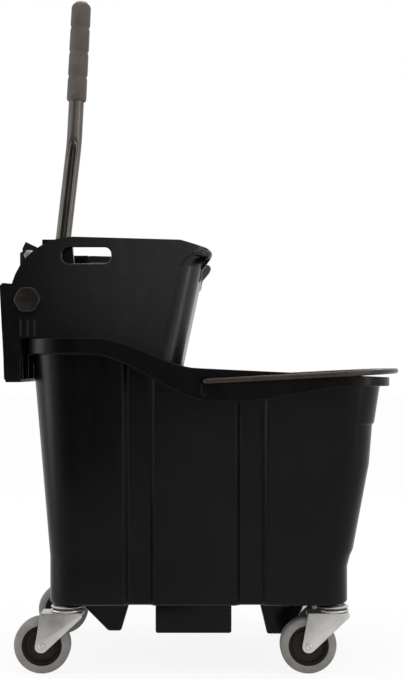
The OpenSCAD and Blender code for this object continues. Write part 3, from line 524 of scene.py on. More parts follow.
def lay_ring(obj, seats, plan_at, height, grooved):
    """Fit the selected ring to an outline whose height may change along the bucket."""
    shape = bmesh.from_edit_mesh(obj.data)
    mark = shape.verts.layers.int["seat"]
    for v in shape.verts:
        if v.select:
            seat = seats[v[mark]]
            z = height(v.co.x / MM)
            x, y = seat_place(seat, plan_at(z), grooved)
            z = height(x)
            x, y = seat_place(seat, plan_at(z), grooved)
            v.co = Vector((x, y, z)) * MM
    bmesh.update_edit_mesh(obj.data)


def first_ring(plan):
    """One rounded outline with all its points, and the list of what each point is."""
    left, right, half, radius = plan
    clear()
    bpy.ops.mesh.primitive_plane_add(size=1)
    obj = opened()
    bpy.ops.transform.resize(value=((right - left) * MM, 2 * half * MM, 1))
    move((left + right) / 2, 0, 0)
    bpy.ops.mesh.bevel(offset=radius * MM, offset_type="OFFSET", affect="VERTICES", segments=CORNER_STEPS)
    bpy.ops.mesh.delete(type="ONLY_FACE")
    for x in side_cuts():
        select_all()
        bpy.ops.mesh.bisect(plane_co=(x * MM, 0, 0), plane_no=(1, 0, 0))
    select_all()
    shape = bmesh.from_edit_mesh(obj.data)
    mark = shape.verts.layers.int.new("seat")
    seats = []
    for v in shape.verts:
        v[mark] = len(seats)
        seats.append(seat_of(v.co / MM, plan))
    bmesh.update_edit_mesh(obj.data)
    return obj, seats


def mould_shell():
    """The bucket's skin from the base up the walls, over the rim and down the inside to the floor."""
    obj, seats = first_ring(wall_plan(BASE_Z))
    rings = [(sole_plan, level(BASE_Z), True)]
    wall_heights = (BASE_Z + BASE_BEVEL, FULL_LOW, STRAIGHT_Z, FULL_FROM, FULL_TO,
                    STEP_Z - STEP_DOWN, STEP_Z + STEP_UP)
    for z in wall_heights:
        rings.append((wall_plan, level(z), True))
    rings += [(wall_plan, skirt_low, True), (rim_plan, skirt_low, False), (rim_plan, rim_top, False)]
    rings.append((inner_plan, rim_top, True))
    for z in (FULL_TO, STRAIGHT_Z, BASE_Z + WALL):
        rings.append((inner_plan, level(z), True))
    for number, (plan_at, height, grooved) in enumerate(rings):
        if number:
            bpy.ops.mesh.extrude_region_move()
        lay_ring(obj, seats, plan_at, height, grooved)
    select_all()
    bpy.ops.mesh.fill_holes(sides=0)
    close()
    settle(obj)
    soften(obj, SHELL_ROUND, angle=28)
    return obj


def foot_block(low_left, low_right, top_left, top_right, half, low, top):
    """A block whose ends slant in towards its sole."""
    obj = block((low_left, -half, low), (low_right, half, top))
    edit(obj)
    middle = Vector((low_left + low_right, 0, low + top)) / 2 * MM
    for shift, end in ((top_left - low_left, -1), (top_right - low_right, 1)):
        pick(obj, "VERT", lambda v: v.co.z > middle.z and (v.co.x - middle.x) * end > 0)
        move(shift, 0, 0)
    close()
    return obj


def cut_pocket(obj, low_left, low_right, top_left, top_right, half, low):
    """Take the inside of one foot out of a piece."""
    cut_away(obj, foot_block(low_left + WALL, low_right - WALL, top_left + WALL, top_right - WALL,
                             half - WALL, low + WALL, BASE_Z + WALL + POCKET_OVER))


def mould_foot(*foot):
    """One foot: a hollow block under the floor, open upward."""
    obj = foot_block(*foot, BASE_Z + WALL - FOOT_SINK)
    soften(obj, FOOT_ROUND)
    cut_pocket(obj, *foot)
    return obj


def mould_socket(x, y):
    """A stem socket on the floor, with a drafted side and a rounded top."""
    height = SOCKET_TOP - BASE_Z
    clear()
    bpy.ops.mesh.primitive_cone_add(vertices=40, depth=height * MM, radius1=SOCKET_R * MM,
                                    radius2=(SOCKET_R - SOCKET_DRAFT) * MM)
    obj = opened()
    move(x, y, BASE_Z + height / 2 + SOCKET_LIFT)
    pick(obj, "FACE", lambda f: f.normal.z > FACING)
    bpy.ops.mesh.inset(thickness=SOCKET_WALL * MM)
    move(0, 0, -SOCKET_DISH)
    close()
    soften(obj, SOCKET_ROUND)
    return obj


def make_bucket():
    shell = mould_shell()
    for foot in FEET:
        cut_pocket(shell, *foot)
    feet = [mould_foot(*foot) for foot in FEET]
    sockets = [mould_socket(*place) for place in STEM_PLACES]
    join(shell, *feet, *sockets)
    dress(shell, "bucket", "black_plastic", "bucket", "bucket_shell")


# Softened copies: frame pieces whose form is right and whose edges are rounded here
# Body, slot, bevel in millimetres and the pieces themselves
SOFT_PIECES = (
    ("bail", "bronze_wire", 0, ("bail_wire",)),
    ("press", "dark_steel", 0.6, ("push_bracket_near", "push_bracket_far")),
    ("press", "zinc_steel", 0.4, ("bracket_screws",)),
    ("lever", "dark_steel", 0.7, ("crank_arm_near", "crank_arm_far")),
    ("lever", "zinc_steel", 0.5, ("crank_pin_near", "crank_pin_far", "lever_bolts")),
    ("lever", "dark_steel", 1.5, ("lever_hub",)),
    ("wringer", "bush_plastic", 0.6, ("shaft_bush_near", "shaft_bush_far")),
    ("lever", "shaft_steel", 0.8, ("press_shaft",)),
)


def soft_copies():
    for body, slot, bevel, names in SOFT_PIECES:
        for name in names:
            obj = copy_of(name)
            if bevel:
                soften(obj, bevel, 2)
            settle(obj, 50)
            dress(obj, "soft_" + name, slot, body, name)


# Turned pieces: a profile of radius and height pairs spun about the upright axis
def turn(profile, steps):
    """Spin a profile, in millimetres, into a closed piece about the Z axis."""
    clear()
    bpy.ops.mesh.primitive_plane_add(size=1)
    obj = opened()
    bpy.ops.mesh.delete(type="ONLY_FACE")
    pick(obj, "VERT", lambda v: v.index > 0)
    bpy.ops.mesh.delete(type="VERT")
    select_all()
    for number, (radius, z) in enumerate(profile):
        if number:
            bpy.ops.mesh.extrude_region_move()
        for v in each_point(obj, picked=True):
            v.co = Vector((radius, 0, z)) * MM
    select_all()
    bpy.ops.mesh.spin(steps=steps, angle=math.radians(360), center=(0, 0, 0), axis=(0, 0, 1))
    select_all()
    bpy.ops.mesh.remove_doubles(threshold=0.00002)
    bpy.ops.mesh.normals_make_consistent(inside=False)
    close()
    return obj


def set_down(obj, place, turned=(0, 0, 0)):
    """Turn a finished piece and put it in its place, in millimetres and degrees."""
    obj.rotation_euler = [math.radians(a) for a in turned]
    obj.location = Vector(place) * MM
    settle(obj)


# The cross shaft's middle line
SHAFT_X = -232.3
SHAFT_Z = 501.6

# Lever: the shaft's far end, the tube's lean below and above its bend
LEVER_FOOT = Vector((SHAFT_X, 173.3, SHAFT_Z))
LEAN_LOW = 6.5
LEAN_HIGH = 3.0
LEVER_LOW = 266.0
LEVER_HIGH = 222.0
TUBE_R = 12.0
BEND_REACH = 16.0
BEND_STEPS = 8
# Rings of the tube: how far they lie from its foot below the bend, and from the bend above it
LOW_RINGS = (18, 60, 66, 72, 120, 180, 225, 240, 246)
HIGH_RINGS = (16, 22, 60, 120, 214)
# The pressed channel: where it starts, how fast it deepens, and where it ends below and above the bend
CHANNEL_FROM = 60.0
CHANNEL_RISE = 10.0
CHANNEL_END_LOW = 14.0
CHANNEL_END_HIGH = 9.0
CHANNEL_HALF = 0.22
CHANNEL_FLOOR = 1.0
LOBE_TOP = 9.0
# The grip and the plug in its end
GRIP_L = 155.0
GRIP_R = 15.5
GRIP_RINGS = 4
PLUG_R = 10.5
# Their profiles: how far each point lies inside the radius, and how far above the edge that it belongs to
GRIP_FOOT = ((2.2, 0.0), (0.9, 1.0))
RING_FOOT = ((0.1, 3.0), (0.0, 8.0))
RING_TOP = ((0.15, -7.0), (0.35, -3.2))
RING_GROOVE = ((0.8, -1.8), (1.3, 0.0), (0.9, 1.6))
GRIP_TOP = ((0.8, -5.5), (1.8, -3.0), (3.4, -1.6))
PLUG_SEAT = ((-0.6, -1.4), (-0.3, -3.5), (PLUG_R, -3.5))
PLUG_PROFILE = ((PLUG_R, -4.0), (0.0, -4.0), (0.0, 0.4), (1.4, 2.0), (4.5, 2.8), (PLUG_R, 3.0))


def lever_way(lean, length):
    """A step along the lever at a lean, in millimetres."""
    a = math.radians(lean)
    return Vector((math.sin(a), 0, math.cos(a))) * length


def bend_tube():
    """The lever's tube: straight from its hub, round a soft bend, straight into the grip."""
    bend = LEVER_FOOT + lever_way(LEAN_LOW, LEVER_LOW)
    stops = [(LEVER_FOOT + lever_way(LEAN_LOW, at), LEAN_LOW) for at in LOW_RINGS]
    for i in range(1, BEND_STEPS):
        t = i / BEND_STEPS
        low = bend + lever_way(LEAN_LOW, -BEND_REACH * (1 - t))
        high = bend + lever_way(LEAN_HIGH, BEND_REACH * t)
        stops.append((low.lerp(high, t), LEAN_LOW + (LEAN_HIGH - LEAN_LOW) * t))
    stops += [(bend + lever_way(LEAN_HIGH, at), LEAN_HIGH) for at in HIGH_RINGS]
    clear()
    bpy.ops.mesh.primitive_circle_add(vertices=48, radius=TUBE_R * MM)
    obj = opened()
    last = Vector((0, 0, 0))
    last_lean = 0.0
    for number, (place, lean) in enumerate(stops):
        if number:
            bpy.ops.mesh.extrude_region_move()
        turn_by = math.radians(lean - last_lean)
        for v in each_point(obj, picked=True):
            from_middle = v.co / MM - last
            x = from_middle.x * math.cos(turn_by) + from_middle.z * math.sin(turn_by)
            z = from_middle.z * math.cos(turn_by) - from_middle.x * math.sin(turn_by)
            v.co = (place + Vector((x, from_middle.y, z))) * MM
        last = place
        last_lean = lean
    select_all()
    bpy.ops.mesh.fill_holes(sides=0)
    press_channel(obj, stops)
    close()
    settle(obj, 40)
    dress(obj, "lever_bar", "lever_steel", "lever", "lever_tube")


def press_channel(obj, stops):
    """Press a channel between two lobes into the lower tube's near and far sides, up to the bend."""
    rise_from = LEVER_FOOT.z + CHANNEL_FROM
    fade_from = LEVER_FOOT.z + LEVER_LOW - CHANNEL_END_LOW
    fade_to = LEVER_FOOT.z + LEVER_LOW + CHANNEL_END_HIGH
    for v in each_point(obj):
        place = v.co / MM
        middle = min(stops, key=lambda stop: abs(stop[0].z - place.z))[0]
        aside = abs(place.x - middle.x) / TUBE_R
        out = abs(place.y - middle.y)
        fade = ease((place.z - fade_from) / (fade_to - fade_from))
        pressing = ease((place.z - rise_from) / CHANNEL_RISE) * (1 - fade)
        across = min(0.5, (aside - CHANNEL_HALF) / (1 - CHANNEL_HALF))
        pressed = CHANNEL_FLOOR
        if across > 0:
            pressed = min(out, LOBE_TOP * math.sqrt(1 - (2 * across - 1) ** 2))
        side = 1 if place.y > middle.y else -1
        v.co.y += side * (pressed - out) * pressing * MM


def points(radius, edge, steps):
    """Points of a profile, each a step inside a radius and a step above an edge."""
    return [(radius - inside, edge + above) for inside, above in steps]


def turn_grip():
    """The grip: four soft rings with fine grooves between them, and the pale plug in its top."""
    ring = GRIP_L / GRIP_RINGS
    profile = [(TUBE_R + 0.05, 0.0)] + points(GRIP_R, 0.0, GRIP_FOOT)
    for i in range(GRIP_RINGS):
        low = i * ring
        profile += points(GRIP_R, low, RING_FOOT)
        profile.append((GRIP_R - 0.1, low + ring * 0.5))
        profile += points(GRIP_R, low + ring, RING_TOP)
        if i < GRIP_RINGS - 1:
            profile += points(GRIP_R, low + ring, RING_GROOVE)
    # The last ring runs into the grip's rounded end
    profile.pop()
    profile += points(GRIP_R, GRIP_L, GRIP_TOP) + points(PLUG_R, GRIP_L, PLUG_SEAT)
    obj = turn(profile, 56)
    place = LEVER_FOOT + lever_way(LEAN_LOW, LEVER_LOW) + lever_way(LEAN_HIGH, LEVER_HIGH - GRIP_L)
    set_down(obj, place, (0, LEAN_HIGH, 0))
    plug = turn(points(PLUG_R, GRIP_L, PLUG_PROFILE), 48)
    set_down(plug, place, (0, LEAN_HIGH, 0))
    dress(plug, "grip_plug", "bush_plastic", "lever")
    dress(obj, "hand_grip", "grip_rubber", "lever", "lever_grip")


# Cap nuts on the shaft's ends
NUT_AF = 33.0
NUT_T = 12.8
NUT_CORNER = 4.4
NUT_ROUND = 0.35
# How far the end's chamfer and its hollow run in, and how far they rise
NUT_END = ((1.3, 1.2), (1.1, -1.0))
# Name, place along the shaft and turn of each nut
NUTS = (("near", -156.3, 90), ("far", 190.6, -90))


def cut_nut():
    """A hexagon with its corners turned down, a chamfered outer edge and a shallow hollow in its end."""
    clear()
    bpy.ops.mesh.primitive_cylinder_add(vertices=6, radius=NUT_AF / math.sqrt(3) * MM, depth=NUT_T * MM)
    nut = opened()
    bpy.ops.transform.rotate(value=math.radians(30), orient_axis="Z", center_override=(0, 0, 0))
    move(0, 0, NUT_T / 2)
    pick(nut, "EDGE", lambda e: reach_of(e, "z") > 1)
    bpy.ops.mesh.bevel(offset=NUT_CORNER * MM, offset_type="OFFSET", segments=2)
    pick(nut, "FACE", lambda f: f.normal.z > FACING)
    for inset, rise in NUT_END:
        bpy.ops.mesh.inset(thickness=inset * MM)
        move(0, 0, rise)
    close()
    soften(nut, NUT_ROUND, 2, 25)
    return nut


def fit_nuts():
    for name, y, turned in NUTS:
        nut = cut_nut()
        set_down(nut, (SHAFT_X, y, SHAFT_Z), (turned, 0, 0))
        dress(nut, "shaft_nut_" + name, "dark_steel", "lever", "cap_nut_" + name)


# Return spring round the shaft
COIL_R = 11.75
SPRING_WIRE_R = 1.75
COIL_TURNS = 6
COIL_PITCH = 4.5
COIL_STEPS = 24
COIL_END_Y = -129.5
SPRING_FOOT = 46.7
FOOT_POINTS = 8
FOOT_STEP = 6
SPRING_LEG = 18.3
LEG_POINTS = 4


def wind_spring():
    """A round wire: a straight foot, the coil and a straight leg."""
    length = COIL_TURNS * COIL_PITCH
    steps = COIL_TURNS * COIL_STEPS
    way = [Vector((-COIL_R, length, -SPRING_FOOT + i * FOOT_STEP)) for i in range(FOOT_POINTS)]
    for i in range(steps + 1):
        a = 2 * math.pi * i / COIL_STEPS
        way.append(Vector((-COIL_R * math.cos(a), length * (1 - i / steps), COIL_R * math.sin(a))))
    way += [Vector((-COIL_R, 0, SPRING_LEG * i / LEG_POINTS)) for i in range(1, LEG_POINTS + 1)]
    middle = Vector((SHAFT_X, COIL_END_Y, SHAFT_Z))
    obj = draw_wire([middle + p for p in way], SPRING_WIRE_R, sides=12)
    settle(obj, 60)
    dress(obj, "coil_spring", "zinc_steel", "wringer", "return_spring")


def draw_wire(way, radius, sides, swells=None):
    """A closed mesh of a round wire: a ring of points is carried along a way, and may swell."""
    clear()
    bpy.ops.mesh.primitive_circle_add(vertices=sides, radius=radius * MM)
    obj = opened()
    heading = Vector((0, 0, 1))
    last = Vector((0, 0, 0))
    for number, place in enumerate(way):
        ahead = way[min(number + 1, len(way) - 1)] - way[max(number - 1, 0)]
        swing = heading.rotation_difference(ahead.normalized())
        heading = ahead.normalized()
        growth = 1.0
        if swells:
            growth = swells[number] / (swells[number - 1] if number else radius)
        if number:
            bpy.ops.mesh.extrude_region_move()
        for v in each_point(obj, picked=True):
            v.co = (place + swing @ (v.co / MM - last) * growth) * MM
        last = place
    select_all()
    bpy.ops.mesh.fill_holes(sides=0)
    close()
    return obj


# Wringer: the front wall's foot and its lean over its height
FRONT_X = -20.6
FRONT_Z = 450.6
FRONT_LEAN = 28.6
FRONT_TALL = 136
TUB_R = 34.0
TUB_HALF = 154.0
HOUSING_ROUND = 1.6
# The flare of the solid's lip, and the curve that takes its place
LIP_Z = 563.6
LIP_START_Z = 547.1
LIP_OUT = 11.0
FLARE_Z = 547.5
FLARE_TOP = 560.0
FLARE_CUTS = (FLARE_Z, 550, 552.5, 555, 557.5, FLARE_TOP)
# The scoop between the cheeks: its depth, half width, the share of it that is flat and that of each side
SCOOP_DEEP = 30.0
SCOOP_HALF = 137.0
SCOOP_FLAT = 0.8
SCOOP_SIDE = 0.17
SCOOP_CUTS = 63
SCOOP_BLOCK = ((-55, -SCOOP_HALF, LIP_Z - 3), (45, SCOOP_HALF, 610))
# The cheeks' upper edge: its height, how far it falls to the beak, and between which places
CHEEK_TOP = 582.6
CHEEK_FALL = 10.2
CHEEK_FALL_X = (-29.2, 6.7)
# The rolled edge: its radius along the front and at the beaks, and how it lies on the wall's edge
LIP_BEAD_R = 4.6
LIP_END_R = 7.2
LIP_SEAT = 0.7
LIP_RISE = 0.4
LIP_SINK = 2.3
LIP_PROUD = 2.5
# Its beaks: their radius, how much thinner they start, over how many steps, and their drop below the cheek
BEAK_R = 26.0
BEAK_STEPS = 12
BEAK_THIN = 3.0
BEAK_THIN_STEPS = 5
BEAK_BELOW = 0.25
# Its front: steps over half of it, how they gather at the beaks, and where it thickens
FRONT_STEPS = 20
FRONT_GATHER = 1.5
THICK_FROM = 95.0
THICK_OVER = 33.0
# Hand holes and the moulded edges round them
HOLE_X = (-189.6, -119.6)
HOLE_Z = (548.6, 574.6)
HOLE_R = 11.0
HOLE_STEPS = 6
COLLAR_Y = 150.5
COLLAR_R = 2.2
# The hanger: its outer and inner face, top, lower edge, slant and the ribs behind it
HANG_X = -271.3
HANG_T = 8.0
HANG_IN = -263.3
HANG_TOP = 524.6
HANG_LOW = 391.6
HANG_SLANT = 4.0
HANG_ROUND = 4.5
HANG_RIBS = (-120, -60, 0, 60, 120)
HANG_RIB_HALF = 2
HANG_RIB_DEEP = 19
HANG_RIB_ROUND = 0.9
# Small ribs on the cheeks, under the shaft
RIB_PLACES = (-242.6, -233.2, -224.1)
RIB_HALF = (1.1, 1.4)
RIB_Z = (453.0, 476.0)
RIB_OUT = 0.4
RIB_ROUND = 0.7


def block(low, high):
    """A block between two corners, in millimetres."""
    clear()
    bpy.ops.mesh.primitive_cube_add(size=1)
    obj = opened()
    bpy.ops.transform.resize(value=[(b - a) * MM for a, b in zip(low, high)])
    move(*[(a + b) / 2 for a, b in zip(low, high)])
    close()
    return obj


def lip_flare(z):
    """How far the solid's lip stands out from the front wall's lean."""
    return LIP_OUT * part_way(z, LIP_START_Z, LIP_Z)


def front_face(z):
    """Where the tub's front wall stands at a height, with the flare of its lip."""
    return FRONT_X + FRONT_LEAN * (z - FRONT_Z) / FRONT_TALL + lip_flare(z)


def scoop_at(y):
    """How far the front edge lies below the lip."""
    return SCOOP_DEEP * (1 - ease((abs(y) / SCOOP_HALF - SCOOP_FLAT) / SCOOP_SIDE))


def cheek_top(x):
    """The cheeks' upper edge towards the front: it slants down to the beak."""
    return CHEEK_TOP - CHEEK_FALL * part_way(x, *CHEEK_FALL_X)


def lip_height(y, thick):
    """How high the rolled edge's middle lies on the scooped wall."""
    return LIP_Z - LIP_SEAT + thick * LIP_RISE - scoop_at(y) * (SCOOP_DEEP + LIP_SINK) / SCOOP_DEEP


def lip_way():
    """The rolled edge round one corner, along the scooped front and round the other, with its thickness."""
    half = []
    for i in range(BEAK_STEPS + 1):
        a = math.radians(90 * i / BEAK_STEPS)
        thick = LIP_END_R - BEAK_THIN * (1 - ease(i / BEAK_THIN_STEPS))
        reach = BEAK_R - thick
        x = front_face(LIP_Z) - BEAK_R + reach * math.sin(a)
        y = -(TUB_HALF - BEAK_R) - reach * math.cos(a)
        below_cheek = cheek_top(x + thick * math.sin(a)) - thick * (1 + BEAK_BELOW * math.cos(a))
        z = min(below_cheek, lip_height(y, thick))
        x -= (front_face(LIP_Z) - front_face(min(z, LIP_Z))) * math.sin(a) ** 2
        half.append((Vector((x, y, z)), thick))
    for i in range(1, FRONT_STEPS + 1):
        y = -(TUB_HALF - BEAK_R) * (1 - (i / FRONT_STEPS) ** FRONT_GATHER)
        thick = LIP_BEAD_R + (LIP_END_R - LIP_BEAD_R) * ease((abs(y) - THICK_FROM) / THICK_OVER)
        z = lip_height(y, thick)
        x = front_face(min(z, LIP_Z)) - thick + LIP_PROUD * scoop_at(y) / SCOOP_DEEP
        half.append((Vector((x, y, z)), thick))
    return half + [(Vector((p.x, -p.y, p.z)), thick) for p, thick in reversed(half[:-1])]


def cut_scoop(housing):
    """Take the front wall down between the cheeks with a block that has a bellied underside."""
    cutter = block(*SCOOP_BLOCK)
    edit(cutter)
    pick(cutter, "EDGE", lambda e: reach_of(e, "y") > SCOOP_HALF)
    bpy.ops.mesh.subdivide(number_cuts=SCOOP_CUTS)
    for v in each_point(cutter):
        if v.co.z < LIP_Z * MM:
            v.co.z -= scoop_at(v.co.y / MM) * MM
    close()
    cut_away(housing, cutter)


def hanger_foot(edge):
    """Whether an edge runs along the foot of the hanger's outer face."""
    for v in edge.verts:
        if v.co.x >= (HANG_X + HANG_T) * MM or v.co.z >= (HANG_LOW + 1) * MM:
            return False
    return reach_of(edge, "y") > 50


def shape_front(housing):
    """Slant the hanger's outer face, and draw the front wall's straight flare into a hollow curve."""
    edit(housing)
    for z in FLARE_CUTS:
        select_all()
        bpy.ops.mesh.bisect(plane_co=(0, 0, z * MM), plane_no=(0, 0, 1))
    for v in each_point(housing):
        place = v.co / MM
        if place.x < HANG_X + 6 and place.z < HANG_TOP - 2:
            v.co.x += HANG_SLANT * MM * (HANG_TOP - place.z) / (HANG_TOP - HANG_LOW)
        forward = (place.x - front_face(place.z) + TUB_R) / TUB_R
        if place.z > LIP_START_Z - 1 and forward > 0:
            curved = LIP_OUT * part_way(place.z, FLARE_Z, FLARE_TOP) ** 2
            v.co.x += (curved - lip_flare(place.z)) * min(1.0, forward) * MM
    pick(housing, "EDGE", hanger_foot)
    bpy.ops.mesh.bevel(offset=HANG_ROUND * MM, offset_type="OFFSET", segments=4)
    close()


def hole_collar(side):
    """The moulded edge round a hand hole, on the inside of its cheek."""
    left, right = HOLE_X[0] + HOLE_R, HOLE_X[1] - HOLE_R
    low, high = HOLE_Z[0] + HOLE_R, HOLE_Z[1] - HOLE_R
    way = []
    for x, z, first in ((right, high, 0), (left, high, 90), (left, low, 180), (right, low, 270)):
        for i in range(HOLE_STEPS + 1):
            a = math.radians(first + 90 * i / HOLE_STEPS)
            way.append(Vector((x + HOLE_R * math.cos(a), side * COLLAR_Y, z + HOLE_R * math.sin(a))))
    way.append(way[0] + Vector((0, 0, 0.01)))
    return draw_wire(way, COLLAR_R, sides=12)


def mould_rib(low, high, rounding):
    rib = block(low, high)
    soften(rib, rounding, 2)
    return rib


def mould_wringer():
    """The tub, its cheeks and hanger, with the rolled lip, the holes' edges and the small ribs joined on."""
    housing = copy_of("wringer_housing")
    cut_scoop(housing)
    shape_front(housing)
    soften(housing, HOUSING_ROUND)
    lip = lip_way()
    more = [draw_wire([place for place, thick in lip], 1.0, sides=16, swells=[thick for place, thick in lip])]
    for y in HANG_RIBS:
        more.append(mould_rib((HANG_IN - 1, y - HANG_RIB_HALF, HANG_LOW + 2),
                              (HANG_IN + HANG_RIB_DEEP, y + HANG_RIB_HALF, HANG_TOP - 8), HANG_RIB_ROUND))
    for side in (-1, 1):
        more.append(hole_collar(side))
        y = side * (TUB_HALF + RIB_OUT)
        for x in RIB_PLACES:
            more.append(mould_rib((x - RIB_HALF[0], y - RIB_HALF[1], RIB_Z[0]),
                                  (x + RIB_HALF[0], y + RIB_HALF[1], RIB_Z[1]), RIB_ROUND))
    join(housing, *more)
    even_shading(housing)
    dress(housing, "wringer_tub", "black_plastic", "wringer", "wringer_housing", finish="wringer_plastic")


# Press plate: the block that its top edge is cut down with
PRESS_CUT = ((-230, -122, 546), (-150, 122, 600))
PRESS_CUT_ROUND = 12
PRESS_ROUND = 1.8


def mould_press():
    """The press plate, with its top edge cut down between its two ends."""
    plate = copy_of("press_plate")
    cutter = block(*PRESS_CUT)
    soften(cutter, PRESS_CUT_ROUND, 5)
    cut_away(plate, cutter)
    soften(plate, PRESS_ROUND, 2)
    settle(plate)
    even_shading(plate)
    dress(plate, "press_board", "black_plastic", "press", "press_plate")


# Bail ears: drops on the rim's sides, each with a raised edge
EAR_PLACE = (4.0, 192.4, 393.3)
EAR_R = 5.6
EAR_DROP = 14.5
EAR_SPREAD = 1.12
EAR_T = 5.4
EAR_EDGE = 1.6
EAR_DISH = 1.2
EAR_ROUND = 0.7


def mould_ears():
    x, y, z = EAR_PLACE
    for name, side in (("near", -1), ("far", 1)):
        clear()
        bpy.ops.mesh.primitive_circle_add(vertices=36, radius=EAR_R * MM, fill_type="NGON")
        ear = opened()
        bpy.ops.transform.rotate(value=math.radians(90), orient_axis="X", center_override=(0, 0, 0))
        pick(ear, "VERT", lambda v: v.co.z < -0.1 * MM)
        move(0, 0, -EAR_DROP)
        bpy.ops.transform.resize(value=(EAR_SPREAD, 1, 1), center_override=(0, 0, 0))
        pick(ear, "FACE", lambda f: True)
        bpy.ops.mesh.extrude_region_move(TRANSFORM_OT_translate={"value": (0, EAR_T * side * MM, 0)})
        bpy.ops.mesh.inset(thickness=EAR_EDGE * MM)
        move(0, -EAR_DISH * side, 0)
        close()
        soften(ear, EAR_ROUND, 2)
        set_down(ear, (x, side * y, z))
        dress(ear, "bail_drop_" + name, "black_plastic", "bucket", "bail_ear_" + name)


# Casters, modelled once about their swivel and copied to the four corners
TRAIL = 33.0
WHEEL_R = 38.0
CROWN_X = (-34, 21.5)
CROWN_Z = 80.0
FORK_IN = 16.0
FORK_T = 2.5
# Outline of a fork's leg in X and Z: the crown's ends, the slant and the tip's corners, with their rounding
LEG_OUTLINE = ((-34.0, 82.4), (21.5, 82.4), (21.5, 77.0), (-29.4, 29.3), (-43.4, 29.3))
TIP_TOP = 30
TIP_ROUNDS = ((-29.4, 3.4), (-43.4, 10.0))
# Profiles in radius and height
RACE_PROFILE = (
    (6.1, 81.0), (17, 81.0), (19.5, 82.9), (21.3, 83.4), (22, 84.4), (21.6, 85.6), (19.6, 86.6), (16, 87.2),
    (6.1, 87.2), (6.1, 81.0),
)
STEM_PROFILE = (
    (0, 77.2), (7.4, 77.2), (8.5, 78.0), (8.5, 79.6), (5.95, 79.7), (5.95, 88.6), (19.6, 88.6), (21.2, 89.0),
    (21.8, 89.9), (20.8, 91.0), (17.4, 91.9), (14.2, 92.3), (13.4, 93.2), (5.5, 93.3), (5.5, 128.0),
    (4.2, 129.2), (0, 129.2),
)
WASHER_PROFILE = ((6.1, 87.5), (20.2, 87.5), (20.7, 87.9), (20.2, 88.3), (6.1, 88.3), (6.1, 87.5))
# Half profiles of what turns about the axle, in radius and distance from the wheel's middle
# Hub: a boss, a dished web and a raised ring inside the tread
HUB_SIDE = (
    (6.15, 14.6), (9.2, 14.9), (10.0, 14.2), (10.6, 9.6), (12.0, 8.6), (20.6, 8.2), (21.9, 8.9), (22.5, 11.2),
    (23.2, 11.9), (24.2, 11.9), (24.7, 11.2), (25.3, 11.2), (25.8, 12.0), (26.95, 12.2),
)
# Tread: flat sides with a fine step, rounded shoulders and a flat crown
TYRE_SIDE = (
    (27.0, 13.4), (27.6, 13.9), (29.0, 14.0), (32.4, 14.0), (32.9, 13.7), (34.6, 13.4), (36.4, 12.2),
    (37.5, 10.3), (37.95, 8.0), (38.0, 4.0),
)
# Axle, with a domed and dimpled head at each end
RIVET_SIDE = (
    (0, 20.0), (0.9, 20.0), (1.5, 20.6), (2.4, 21.0), (3.4, 20.7), (4.3, 19.9), (4.7, 19.0), (4.7, 18.6),
    (4.0, 18.5),
)


def press_leg(side):
    """One leg of a fork: its flat outline with a round tip, drawn out to the steel's thickness."""
    clear()
    bpy.ops.mesh.primitive_circle_add(vertices=len(LEG_OUTLINE), radius=1, fill_type="NGON")
    leg = opened()
    for v in each_point(leg):
        x, z = LEG_OUTLINE[v.index]
        v.co = Vector((x, side * FORK_IN, z)) * MM
    for x, reach in TIP_ROUNDS:
        pick(leg, "VERT", lambda v: abs(v.co.x - x * MM) < CLOSE * MM and v.co.z < TIP_TOP * MM)
        bpy.ops.mesh.bevel(offset=reach * MM, offset_type="OFFSET", affect="VERTICES", segments=8)
    pick(leg, "FACE", lambda f: True)
    bpy.ops.mesh.extrude_region_move(TRANSFORM_OT_translate={"value": (0, side * FORK_T * MM, 0)})
    close()
    soften(leg, 0.7, 2)
    return leg


def press_fork():
    """A pressed fork: two legs, the crown between them and the lower half of the ball race."""
    left, right = CROWN_X
    crown = block((left, -FORK_IN - 1, CROWN_Z), (right, FORK_IN + 1, CROWN_Z + FORK_T))
    soften(crown, 0.8, 2)
    race = turn(RACE_PROFILE, 56)
    legs = [press_leg(side) for side in (-1, 1)]
    join(crown, race, *legs)
    return crown


def turn_pair(side, steps, ring=True):
    """Spin a half profile together with its mirror image; a ring's profile ends where it began."""
    profile = [*side] + [(r, -y) for r, y in reversed(side)]
    if ring:
        profile.append(side[0])
    return turn(profile, steps)


def fit_casters():
    """Model each piece once, then set a copy of it down at every corner."""
    swivel = (0, 0, 0)
    wheel = (-TRAIL, 0, WHEEL_R)
    rivet = turn_pair(RIVET_SIDE, 40, ring=False)
    patterns = (
        ("fork", press_fork(), "zinc_steel", "swivel_", "fork_", swivel, 0),
        ("race", turn(STEM_PROFILE, 56), "zinc_steel", None, "caster_stem_", swivel, 0),
        ("washer", turn(WASHER_PROFILE, 56), "tread", None, "swivel_washer_", swivel, 0),
        ("wheel_hub", turn_pair(HUB_SIDE, 64), "hub_plastic", "wheel_", "hub_", wheel, 90),
        ("wheel_tread", turn_pair(TYRE_SIDE, 72), "tread", "wheel_", "tyre_", wheel, 90),
        ("axle_rivet", rivet, "zinc_steel", "swivel_", "axle_bolt_", wheel, 90),
    )
    for name, pattern, slot, body, node, place, turned in patterns:
        for corner, (x, y) in zip(CORNERS, STEM_PLACES):
            take(pattern)
            bpy.ops.object.duplicate()
            piece = bpy.context.object
            set_down(piece, (x + place[0], y, place[2]), (turned, 0, 0))
            riding = body + corner if body else "bucket"
            dress(piece, name + "_" + corner, slot, riding, node + corner)
        bpy.data.objects.remove(pattern)


# Studio: floor, light and camera
FLOOR_SIZE = 40
FLOOR_TONE = 0.95
FLOOR_LIT = 0.12
AIR_LIGHT = 0.92
LOOK_AT = (0, 0, 0.4)
